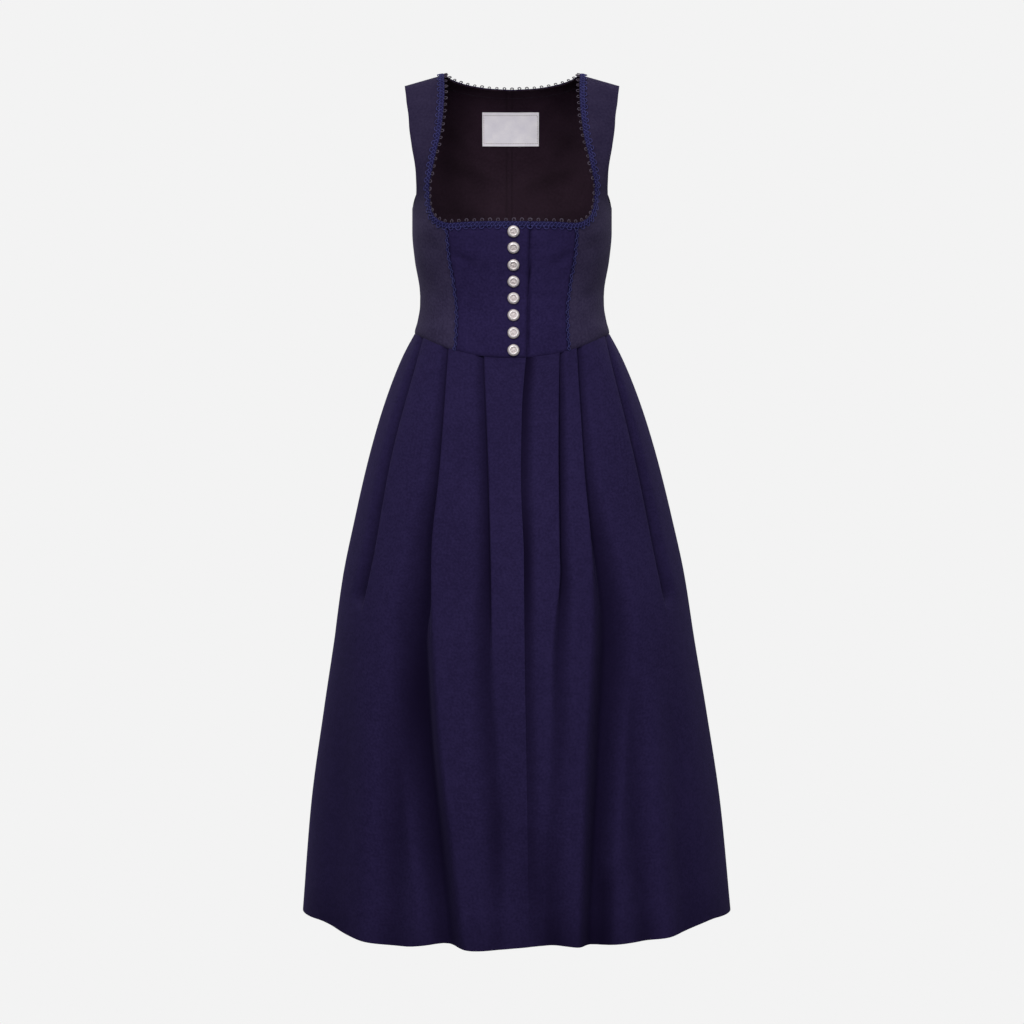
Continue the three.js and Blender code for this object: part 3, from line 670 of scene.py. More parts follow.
class TrimTree(NodeTree):
    """A node tree that lays a trim along a path of edges, whose points carry the cloth's direction "up"."""

    def __init__(self, name: str, sizes: dict[str, float]) -> None:
        """Starts a tree.

        Args:
            name: The tree's name.
            sizes: The names and usual values of its inputs, in metres or radians.
        """
        super().__init__(bpy.data.node_groups.new(name, "GeometryNodeTree"))
        face = self.tree.interface
        face.new_socket(name="Path", in_out="INPUT", socket_type="NodeSocketGeometry")
        for size, usual in sizes.items():
            socket = face.new_socket(name=size, in_out="INPUT", socket_type="NodeSocketFloat")
            socket.default_value = usual
        face.new_socket(name="Yarn Finish", in_out="INPUT", socket_type="NodeSocketMaterial")
        face.new_socket(name="Trim", in_out="OUTPUT", socket_type="NodeSocketGeometry")
        self.given = self.add("NodeGroupInput").outputs
        self.made = self.add("NodeGroupOutput").inputs

    def vector(self, operation: str, *values: object) -> Socket:
        """A calculation of vectors."""
        return self.math(operation, *values, kind="ShaderNodeVectorMath")

    def scaled(self, vector: Socket, size: object) -> Socket:
        """A vector made some number of times as long."""
        return self.add("ShaderNodeVectorMath", {"operation": "SCALE"}, Vector=vector, Scale=size).outputs[0]

    def up(self) -> Socket:
        """The direction out of the cloth at each point of the path."""
        node = self.add("GeometryNodeInputNamedAttribute", {"data_type": "FLOAT_VECTOR"}, Name="up")
        return node.outputs["Attribute"]

    def path(self, step: object) -> tuple[Socket, Socket, Socket]:
        """The path at even steps.

        Args:
            step: The step's length or a socket with it.

        Returns:
            The curve, its direction and the direction across it in the cloth.
        """
        curve = self.add("GeometryNodeMeshToCurve", Mesh=self.given["Path"]).outputs["Curve"]
        even = self.add("GeometryNodeResampleCurve", {"mode": "LENGTH"}, Curve=curve, Length=step)
        along = self.add("GeometryNodeInputTangent").outputs["Tangent"]
        across = self.vector("NORMALIZE", self.vector("CROSS_PRODUCT", self.up(), along))
        return even.outputs["Curve"], along, across

    def tube(self, curve: Socket, thickness: object, sides: int) -> Socket:
        """A yarn round a curve.

        Args:
            curve: The curve.
            thickness: The yarn's radius.
            sides: How many sides it has.

        Returns:
            The yarn's mesh.
        """
        ring = self.add("GeometryNodeCurvePrimitiveCircle", Resolution=sides, Radius=thickness)
        tube = self.add(
            "GeometryNodeCurveToMesh", Curve=curve, Profile_Curve=ring.outputs["Curve"], Fill_Caps=True
        )
        return tube.outputs["Mesh"]

    def laid(self, curve: Socket, along: Socket, shape: Socket) -> None:
        """Lays a shape on each point of the curve, x along it and z out of the cloth, and ends the tree.

        Args:
            curve: The curve.
            along: Its direction at each point.
            shape: The shape.
        """
        turn = self.add(
            "FunctionNodeAxesToRotation", {"primary_axis": "Z", "secondary_axis": "X"},
            Primary_Axis=self.up(), Secondary_Axis=along,
        )
        uneven = self.add("FunctionNodeRandomValue", Min=0.9, Max=1.1, Seed=7).outputs[1]
        many = self.add(
            "GeometryNodeInstanceOnPoints", Points=curve, Instance=shape,
            Rotation=turn.outputs["Rotation"], Scale=uneven,
        )
        self.finish(self.add("GeometryNodeRealizeInstances", Geometry=many.outputs["Instances"]).outputs[0])

    def finish(self, geometry: Socket) -> None:
        """Smooths the trim, gives it its material and ends the tree.

        Args:
            geometry: The whole trim.
        """
        smooth = self.add("GeometryNodeSetShadeSmooth", Geometry=geometry)
        dressed = self.add(
            "GeometryNodeSetMaterial", Geometry=smooth.outputs[0], Material=self.given["Yarn Finish"]
        )
        self.put(self.made["Trim"], dressed.outputs["Geometry"])

    def run(self, name: str, path: Array, up: Array, finish: Material, **sizes: float) -> Mesh:
        """Runs the tree on a path.

        Args:
            name: The name of the trim.
            path: The path's points, in metres.
            up: The direction out of the cloth at each.
            finish: The yarn's material.
            **sizes: Values of the tree's inputs, with _ for a space.

        Returns:
            The trim's mesh, in metres.
        """
        carrier_mesh = bpy.data.meshes.new(name)
        edges = [(i, i + 1) for i in range(len(path) - 1)]
        carrier_mesh.from_pydata(path.tolist(), edges, [])
        attribute = carrier_mesh.attributes.new("up", "FLOAT_VECTOR", "POINT")
        attribute.data.foreach_set("vector", np.asarray(up, float).reshape(-1))
        carrier = in_scene(name, carrier_mesh)
        modifier = carrier.modifiers.new("trim", "NODES")
        modifier.node_group = self.tree
        values = {key.replace("_", " "): value for key, value in sizes.items()} | {"Yarn Finish": finish}
        for socket in self.tree.interface.items_tree:
            if getattr(socket, "in_out", "") == "INPUT" and socket.name in values:
                modifier[socket.identifier] = values[socket.name]
        graph = bpy.context.evaluated_depsgraph_get()
        mesh = bpy.data.meshes.new_from_object(carrier.evaluated_get(graph), depsgraph=graph)
        carrier.modifiers.remove(modifier)
        bpy.data.objects.remove(carrier)
        mesh.name = name
        return mesh


class LoopTree(TrimTree):
    """Open loops of yarn side by side: picots and scallops."""

    def __init__(self) -> None:
        """Builds the tree."""
        sizes = {"Pitch": 0.0117, "Radius": 0.002, "Sweep": 4.9, "Reach": 0.0, "Thickness": 0.0004}
        super().__init__("yarn_loops", sizes)
        curve, along, _ = self.path(self.given["Pitch"])
        start = self.math("SUBTRACT", math.pi / 2, self.math("MULTIPLY", self.given["Sweep"], 0.5))
        arc = self.add(
            "GeometryNodeCurveArc", Resolution=9, Radius=self.given["Radius"], Start_Angle=start,
            Sweep_Angle=self.given["Sweep"],
        )
        tube = self.tube(arc.outputs["Curve"], self.given["Thickness"], 5)
        place = self.add("ShaderNodeCombineXYZ")
        self.put(place.inputs["Y"], self.given["Reach"])
        moved = self.add("GeometryNodeTransform", Geometry=tube, Translation=place.outputs[0])
        self.laid(curve, along, moved.outputs["Geometry"])


class WavyCordTree(TrimTree):
    """One yarn that swings from side to side along the path, over and under its neighbour."""

    def __init__(self) -> None:
        """Builds the tree."""
        sizes = {"Pitch": 0.0117, "Swing": 0.0015, "Phase": 0.0, "Thickness": 0.0005, "Weave": 0.0003}
        super().__init__("wavy_cord", sizes)
        curve, _, across = self.path(0.0011)
        length = self.add("GeometryNodeSplineParameter").outputs["Length"]
        turn = self.math("MULTIPLY", self.math("DIVIDE", length, self.given["Pitch"]), 2 * math.pi)
        phase = self.math("ADD", turn, self.given["Phase"])
        swing = self.math("MULTIPLY", self.math("SINE", phase), self.given["Swing"])
        height = self.math("MULTIPLY", self.math("COSINE", phase), self.given["Weave"])
        sideways = self.scaled(across, swing)
        upwards = self.scaled(self.up(), height)
        offset = self.vector("ADD", sideways, upwards)
        moved = self.add("GeometryNodeSetPosition", Geometry=curve, Offset=offset)
        self.finish(self.tube(moved.outputs["Geometry"], self.given["Thickness"], 5))


class StitchTree(TrimTree):
    """Running stitches, each a short rounded bar half sunk in the cloth."""

    def __init__(self) -> None:
        """Builds the tree."""
        super().__init__("running_stitches", {"Pitch": 0.003, "Length": 0.0022, "Thickness": 0.0003})
        curve, along, _ = self.path(self.given["Pitch"])
        ball = self.add("GeometryNodeMeshUVSphere", Segments=6, Rings=5, Radius=1.0)
        size = self.add("ShaderNodeCombineXYZ")
        self.put(size.inputs["X"], self.math("MULTIPLY", self.given["Length"], 0.5))
        self.put(size.inputs["Y"], self.given["Thickness"])
        self.put(size.inputs["Z"], self.given["Thickness"])
        bar = self.add("GeometryNodeTransform", Geometry=ball.outputs["Mesh"], Scale=size.outputs[0])
        self.laid(curve, along, bar.outputs["Geometry"])


class Trims:
    """The trees of all trims, built once."""

    def __init__(self) -> None:
        """Builds the trees."""
        self.loops = LoopTree()
        self.cord = WavyCordTree()
        self.stitches = StitchTree()


def joined(name: str, meshes: list[Mesh]) -> Mesh:
    """One mesh from several, which keep their materials.

    Args:
        name: The name of the new mesh.
        meshes: The meshes to join. They are removed.

    Returns:
        The joined mesh.
    """
    points, faces, finishes, materials = [], [], [], []
    for mesh in meshes:
        first = len(points)
        points.extend(tuple(v.co) for v in mesh.vertices)
        materials.extend(m for m in mesh.materials if m not in materials)
        own = [materials.index(m) for m in mesh.materials]
        for polygon in mesh.polygons:
            faces.append([first + v for v in polygon.vertices])
            finishes.append(own[polygon.material_index])
        bpy.data.meshes.remove(mesh)
    whole = bpy.data.meshes.new(name)
    whole.from_pydata(points, [], faces)
    for material in materials:
        whole.materials.append(material)
    whole.polygons.foreach_set("material_index", finishes)
    whole.shade_smooth()
    whole.update()
    return whole


# The bodice's form


@dataclass(frozen=True)
class BodiceForm:
    """The surface that the bodice lies on. A place on it is an angle round the body, 0 at the centre front
    and rising over the wearer's left, and a fall, the root of its distance below the shoulder line."""

    squareness: float = 2.3
    heights: tuple = (0, 6, 16, 30, 60, 100, 150, 190, 222, 260, 300, 322, 345, 364, 410)
    half_widths: tuple = (
        190, 190, 189, 188, 184, 172, 151, 139.5, 139.5, 136, 129.5, 128.5, 132, 136.5, 136.5,
    )
    fronts: tuple = (0, 15, 26, 37, 55, 77, 102, 117, 121, 113, 102, 98, 97, 98, 98)
    backs: tuple = (0, 25, 44, 57, 70, 80, 86, 86, 83, 79, 75, 74, 76, 79, 79)
    neck_point_x: float = 95
    shoulder_slope: float = 0.28
    slope_fades: tuple = (60, 160)
    bust_fullness: float = 6
    bust_angle: float = 0.62
    bust_angle_spread: float = 0.36
    bust_z: float = -208
    bust_z_spread: float = 48
    side_waist_z: float = -364
    waist_front_dip: float = 38

    def course(self, values: tuple) -> Course:
        """A section's size down the bodice."""
        return Course(tuple(math.sqrt(h) for h in self.heights), values)

    def shoulder_drop(self, x: Array, fall: Array) -> Array:
        """How far the shoulder line has dropped at a distance from the centre."""
        fade = 1 - smoothstep(fall * fall, *self.slope_fades)
        return np.maximum(0, np.abs(x) - self.neck_point_x) * self.shoulder_slope * fade

    def points(self, places: Array) -> Array:
        """Points of the surface.

        Args:
            places: Places, with the angle and the fall on the last axis.

        Returns:
            The points in millimetres, on the same axes.
        """
        angle, fall = places[..., 0], places[..., 1]
        power = 2 / self.squareness
        front = self.course(self.fronts).at(fall)
        back = self.course(self.backs).at(fall)
        depth = np.where(np.cos(angle) > 0, front, back)
        x = self.course(self.half_widths).at(fall) * signed_power(np.sin(angle), power)
        y = -depth * signed_power(np.cos(angle), power)
        z = -fall * fall
        turned = bell(np.abs(angle) - self.bust_angle, self.bust_angle_spread)
        fullness = self.bust_fullness * turned * bell(z - self.bust_z, self.bust_z_spread)
        return np.stack([x, y - fullness, z - self.shoulder_drop(x, fall)], axis=-1)

    def normals(self, places: Array) -> Array:
        """The directions out of the surface at some places.

        Args:
            places: The places.

        Returns:
            A direction of length 1 for each.
        """
        turn = np.array([0.01, 0])
        sink = np.array([0, 0.05])
        lower = places + sink
        upper = np.maximum(places - sink, [-np.inf, 0])
        down = self.points(lower) - self.points(upper)
        cross = np.cross(down, self.points(lower + turn) - self.points(lower - turn))
        return unit(cross)

    def place_at(self, x: float, z: float, front: bool = True) -> Array:
        """The place that shows at a distance x from the centre and a height z, on the front or the back.

        Args:
            x: The distance from the centre.
            z: The height.
            front: Whether it shows from the front.

        Returns:
            The angle and the fall.
        """
        fall = math.sqrt(max(0, -z))
        for _ in range(20):
            fall = math.sqrt(max(0, -z - float(self.shoulder_drop(np.array(x), np.array(fall)))))
        half_width = float(self.course(self.half_widths).at(fall))
        angle = math.asin(min(1, abs(x) / half_width) ** (self.squareness / 2))
        return np.array([math.copysign(angle if front else math.pi - angle, x or 1), fall])

    def route(self, corners: tuple, front: bool = True) -> Array:
        """The places of an edge that is given by x and z."""
        return np.array([self.place_at(x, z, front) for x, z in corners])

    def waist_height(self, angle: Array) -> Array:
        """The height of the waist seam."""
        return self.side_waist_z - self.waist_front_dip * np.maximum(0, np.cos(angle)) ** 2

    def along(self, places: Array, count: int) -> Array:
        """Evenly spaced places along a smooth edge through a few of them.

        Args:
            places: The edge's few places.
            count: How many places to make.

        Returns:
            The even places.
        """
        scale = np.array([12, 1])
        knots = places * scale
        knots = np.concatenate([[2 * knots[0] - knots[1]], knots, [2 * knots[-1] - knots[-2]]])
        gaps = np.maximum(np.linalg.norm(np.diff(knots, axis=0), axis=1) ** 0.5, 1e-4)
        share = np.linspace(0, 1, 41)[:, None]
        pieces = []
        for i in range(1, len(knots) - 2):
            p0, p1, p2, p3 = knots[i - 1 : i + 3]
            d0, d1, d2 = gaps[i - 1 : i + 2]
            leave = ((p1 - p0) / d0 - (p2 - p0) / (d0 + d1) + (p2 - p1) / d1) * d1
            arrive = ((p2 - p1) / d1 - (p3 - p1) / (d1 + d2) + (p3 - p2) / d2) * d1
            c2 = -3 * p1 + 3 * p2 - 2 * leave - arrive
            c3 = 2 * p1 - 2 * p2 + leave + arrive
            pieces.append(p1 + leave * share + c2 * share**2 + c3 * share**3)
        fine = np.concatenate([pieces[0][:1]] + [piece[1:] for piece in pieces]) / scale
        fine[:, 1] = np.maximum(0, fine[:, 1])
        lengths = gathered_steps(self.points(fine))
        even = np.linspace(0, lengths[-1], count)
        return np.stack([np.interp(even, lengths, fine[:, k]) for k in range(2)], axis=-1)

    def patch(self, from_edge: Array, to_edge: Array, columns: int) -> Array:
        """Rows of places between two edges, closer together near both."""
        share = crowded(columns)[None, :, None]
        return from_edge[:, None] * (1 - share) + to_edge[:, None] * share

    def foot_on_waist(self, grid: Array, rows: int) -> Array:
        """Brings the foot of a panel to the waist seam, and moves its lower rows by less and less.

        Args:
            grid: The panel's places.
            rows: How many of its rows move.

        Returns:
            The moved places.
        """
        share = np.clip(1 - np.arange(len(grid)) / (rows - 1), 0, 1)[:, None]
        foot = np.sqrt(-self.waist_height(grid[0, :, 0])) - grid[0, :, 1]
        moved = grid.copy()
        moved[..., 1] += share * foot[None]
        return moved


@dataclass(frozen=True)
class Placket:
    """The button stand: the right front laps over the left."""

    neckline_z: float = -219.5
    edge_top_x: float = 24
    edge_bottom_x: float = 20
    underlap: float = 44
    lift: float = 1.9
    lift_from_x: float = -62
    lift_to_x: float = -28

    def edge_x(self, z: Array, foot: float) -> Array:
        """The x of the placket's edge at some heights."""
        share = (z - foot) / (self.neckline_z - foot)
        return self.edge_bottom_x + (self.edge_top_x - self.edge_bottom_x) * share

    def lift_at(self, points: Array) -> Array:
        """How far the right front stands out over the left at some points."""
        return self.lift * smoothstep(points[..., 0], self.lift_from_x, self.lift_to_x)


# The bodice's cloth


@dataclass
class Bodice:
    """The bodice: two centre fronts, two side fronts with their straps, and two backs."""

    wardrobe: Wardrobe
    form: BodiceForm = field(default_factory=BodiceForm)
    placket: Placket = field(default_factory=Placket)
    cloth: float = 1.3
    seam_gap: float = -0.25
    seam_dip: float = 0.9
    seam_dip_width: float = 2.6
    # strap_shade: painted shade on the straps, darker than the lighter-painted side panels
    strap_shade: float = 0.38
    rows: int = 56
    columns: int = 56
    strap_rows: int = 64
    centre_rows: int = 60
    neck_rows: int = 42
    side_rows: int = 36
    armhole_rows: int = 66
    princess_seam: tuple = (
        (78, -390), (76, -364), (75.5, -342), (77.5, -315), (81, -290), (86, -262), (88, -219.5),
    )
    strap_neck: tuple = (
        (88, -219.5), (100, -214), (108, -204), (112, -187), (113, -170), (110, -148),
        (105.5, -125), (100, -101), (96, -72), (94, -41), (94.5, -10), (95, 0),
    )
    front_armhole: tuple = (
        (139.5, -190), (134.5, -183), (132, -168), (132.5, -148), (137, -116), (143, -70), (147, -40),
        (150.5, -15.54),
    )
    back_armhole: tuple = (
        (139.5, -190), (133.5, -182), (129, -165), (127, -130), (130, -90), (138, -50), (150.5, -15.54),
    )
    back_neck: tuple = ((0, -14), (40, -12), (70, -7.5), (86, -3), (95, 0))
    front_creases: tuple = (
        Crease((-88, -257), (-42, -285), 6, -1.5),
        Crease((-86, -248), (-36, -267), 8, 1.0),
        Crease((87, -257), (46, -284), 6, -1.4),
        Crease((84, -246), (42, -264), 8, 0.9),
        Crease((-70, -330), (-26, -352), 9, -0.8),
        Crease((66, -330), (30, -350), 9, -0.7),
        Crease((-14, -236), (-20, -300), 9, 0.5),
    )
    side_creases: tuple = (
        Crease((128, -232), (98, -262), 9, -1.3),
        Crease((132, -300), (92, -322), 10, -1.2),
        Crease((128, -318), (88, -338), 9, 0.8),
        Crease((124, -196), (112, -226), 8, -0.9),
        Crease((126, -90), (118, -150), 8, -0.9),
        Crease((138, -60), (112, -84), 8, 0.8),
    )
    back_creases: tuple = (
        Crease((20, -120), (100, -150), 14, -1.2),
        Crease((8, -330), (84, -314), 10, -1.6),
        Crease((10, -312), (90, -292), 10, 1.0),
        Crease((60, -60), (120, -70), 11, -0.9),
        Crease((12, -250), (90, -232), 14, -0.8),
    )

    def princess_places(self) -> Array:
        """The few places of the seam between the centre front and the side front, from the waist up."""
        foot, *rest = self.form.route(self.princess_seam)
        return np.array([[foot[0], math.sqrt(-self.form.waist_height(foot[0]))], *rest])

    def centre_edge(self, shift: float) -> Array:
        """The edge of a centre front, some way from the placket's edge.

        Args:
            shift: How far it lies beyond the placket's edge.

        Returns:
            Its places.
        """
        foot = float(self.form.waist_height(np.array(0.0)))
        heights = np.linspace(foot, self.placket.neckline_z, self.rows)
        across = self.placket.edge_x(heights, foot) + shift
        return np.array([self.form.place_at(x, z) for x, z in zip(across, heights)])

    def side_seam(self, count: int) -> Array:
        """The side seam, from the waist up to the underarm."""
        heights = (self.form.side_waist_z, -345, -322, -300, -260, -222, -190)
        return self.form.along(np.array([[math.pi / 2, math.sqrt(-z)] for z in heights]), count)

    def side_front_grid(self) -> Array:
        """The places of the left side front and its strap.

        Returns:
            Rows of places.
        """
        armhole = self.form.route(self.front_armhole)
        armhole[0, 0] = math.pi / 2
        neck = self.form.along(self.form.route(self.strap_neck), self.strap_rows)
        inside = np.concatenate([self.form.along(self.princess_places(), self.rows), neck[1:]])
        outside = np.concatenate([self.side_seam(self.rows), self.form.along(armhole, self.strap_rows)[1:]])
        return self.form.foot_on_waist(self.form.patch(inside, outside, self.columns), self.rows)

    def neck_behind(self) -> Array:
        """The places of the left half of the back neck, from the centre to the shoulder."""
        return self.form.along(self.form.route(self.back_neck, False), self.neck_rows)

    def sewn_back(self) -> Array:
        """The places of the left back, drawn in at its seams.

        Returns:
            Rows of places.
        """
        ends = math.sqrt(-self.form.side_waist_z), math.sqrt(-self.back_neck[0][1])
        falls = np.linspace(*ends, self.centre_rows)
        centre = np.stack([np.full(self.centre_rows, math.pi), falls], axis=-1)
        armhole = self.form.route(self.back_armhole, False)
        armhole[0, 0] = math.pi / 2
        armhole = self.form.along(armhole, self.armhole_rows)
        outside = np.concatenate([self.side_seam(self.side_rows), armhole[1:]])
        inside = np.concatenate([centre, self.neck_behind()[1:]])
        grid = self.form.patch(inside, outside, self.centre_rows)
        return self.drawn_in(grid, self.centre_rows, self.side_rows, True)

    def drawn_in(self, grid: Array, start_rows: int, end_rows: int, top: bool) -> Array:
        """A grid with its seams drawn in by half their gap.

        Args:
            grid: The places.
            start_rows: How many rows of the first column lie on a seam.
            end_rows: How many rows of the last column do.
            top: Whether the last row lies on a seam.

        Returns:
            The drawn places.
        """
        made = grid.copy()
        points = self.form.points

        def towards(place: Array, neighbour: Array) -> Array:
            """Places moved towards their neighbours by half the gap."""
            apart = np.linalg.norm(points(place) - points(neighbour), axis=-1, keepdims=True)
            return place + (neighbour - place) * np.clip(self.seam_gap / np.maximum(apart, 1e-6), -3, 0.8)

        made[:start_rows, 0] = towards(grid[:start_rows, 0], grid[:start_rows, 1])
        made[:end_rows, -1] = towards(grid[:end_rows, -1], grid[:end_rows, -2])
        if top:
            made[-1] = towards(made[-1], made[-2])
        return made

    def dip(
        self, points: Array, start_rows: int, end_rows: int, foot: bool = True, top: bool = False
    ) -> Array:
        """How deep the cloth sinks into the seams along its edges.

        Args:
            points: The grid of points.
            start_rows: How many rows of the first column lie on a seam.
            end_rows: How many rows of the last column do.
            foot: Whether the first row lies on a seam.
            top: Whether the last row does.

        Returns:
            The depths in millimetres.
        """
        from_start = gathered_steps(points, 1)
        from_foot = gathered_steps(points)
        rows = np.arange(len(points))[:, None]
        edges = (
            (from_start, rows < start_rows),
            (from_start[:, -1:] - from_start, rows < end_rows),
            (from_foot, foot),
            (from_foot[-1:] - from_foot, top),
        )
        near = [bell(distance, self.seam_dip_width) * sewn for distance, sewn in edges]
        return self.seam_dip * np.maximum.reduce(near)

    def shell(
        self,
        name: str,
        grid: Array,
        relief: Callable[[Array], Array],
        dip: Array,
        material: Material,
        line_x: Array | None = None,
    ) -> ClothShell:
        """A shell of cloth on the form.

        Args:
            name: The piece's name.
            grid: Its places.
            relief: How far the cloth stands out of the form at given points.
            dip: How deep it sinks into its seams.
            material: Its right side's material. Its wrong side is lined.
            line_x: The x of an edge that lies on it, for each row; a shadow is painted beside it.

        Returns:
            The shell.
        """
        on_form = self.form.points(grid)
        normals = self.form.normals(grid)
        out = (relief(on_form) - dip)[..., None]
        outer = on_form + normals * out
        inner = on_form + normals * (np.minimum(out, relief(on_form)[..., None]) - self.cloth)
        # Painted shade where the cloth sinks into its seams.
        shade = 0.55 * dip / self.seam_dip
        # A painted shadow beside the placket's edge, where the right front laps over the left.
        if line_x is not None:
            beyond = on_form[..., 0] - line_x[:, None]
            shade = np.maximum(shade, bell(beyond - 0.9, 1.7))
        # Painted shade on everything above the bust line: the straps and the upper backs.
        shade = shade + self.strap_shade * smoothstep(on_form[..., 2], -215, -160)
        return ClothShell(name, outer, inner, material, self.wardrobe.lining, np.clip(shade, 0, 1))

    def relief(self, creases: tuple, side: Side, lifted: bool = False) -> Callable[[Array], Array]:
        """How far the cloth of a panel stands out of the form.

        Args:
            creases: The panel's creases, on the wearer's left.
            side: The panel's side, which mirrors them.
            lifted: Whether the panel laps over the other front.

        Returns:
            A function of points.
        """

        def out(points: Array) -> Array:
            """The outward moves at some points."""
            height = creased(creases, points[..., 0] * side.value, points[..., 2])
            return height + (self.placket.lift_at(points) if lifted else 0)

        return out

    def build(self) -> list[Piece]:
        """Builds the six cloth panels.

        Returns:
            The pieces.
        """
        rows = self.rows
        princess = self.form.along(self.princess_places(), rows)
        pieces = []

        right = self.form.patch(Side.RIGHT.placed(princess), self.centre_edge(0), self.columns)
        right = self.drawn_in(self.form.foot_on_waist(right, rows), rows, 0, False)
        dip = self.dip(self.form.points(right), rows, rows)
        relief = self.relief(self.front_creases, Side.LEFT, True)
        shell = self.shell("front_right_cloth", right, relief, dip, self.wardrobe.centre_wool)
        pieces.append(shell.piece(Slot.WOOL, ("bodice_front_right",), Held.STRETCHED, ("bodice_front_left",)))

        left = self.form.patch(self.centre_edge(-self.placket.underlap), princess, self.columns)
        left = self.drawn_in(self.form.foot_on_waist(left, rows), 0, rows, False)
        dip = self.dip(self.form.points(left), 0, rows)
        heights = self.form.points(left)[:, 20, 2]
        edge_x = self.placket.edge_x(heights, heights[0])
        relief = self.relief(self.front_creases, Side.LEFT)
        shell = self.shell("front_left_cloth", left, relief, dip, self.wardrobe.centre_wool, edge_x)
        pieces.append(shell.piece(Slot.WOOL, ("bodice_front_left",), Held.STRETCHED))

        sides, backs = self.drawn_in(self.side_front_grid(), rows, rows, True), self.sewn_back()
        halves = (
            ("side_front", sides, rows, rows, self.side_creases, self.wardrobe.side_wool),
            ("back", backs, self.centre_rows, self.side_rows, self.back_creases, self.wardrobe.strap_wool),
        )
        for side in Side:
            for kind, grid, start_rows, end_rows, creases, wool in halves:
                name = f"{kind}_{side.word}"
                dip = self.dip(self.form.points(grid), start_rows, end_rows, top=True)
                shell = self.shell(f"{name}_cloth", side.placed(grid), self.relief(creases, side), dip, wool)
                pieces.append(shell.piece(Slot.WOOL, (f"bodice_{name}",), Held.STRETCHED))
        return pieces


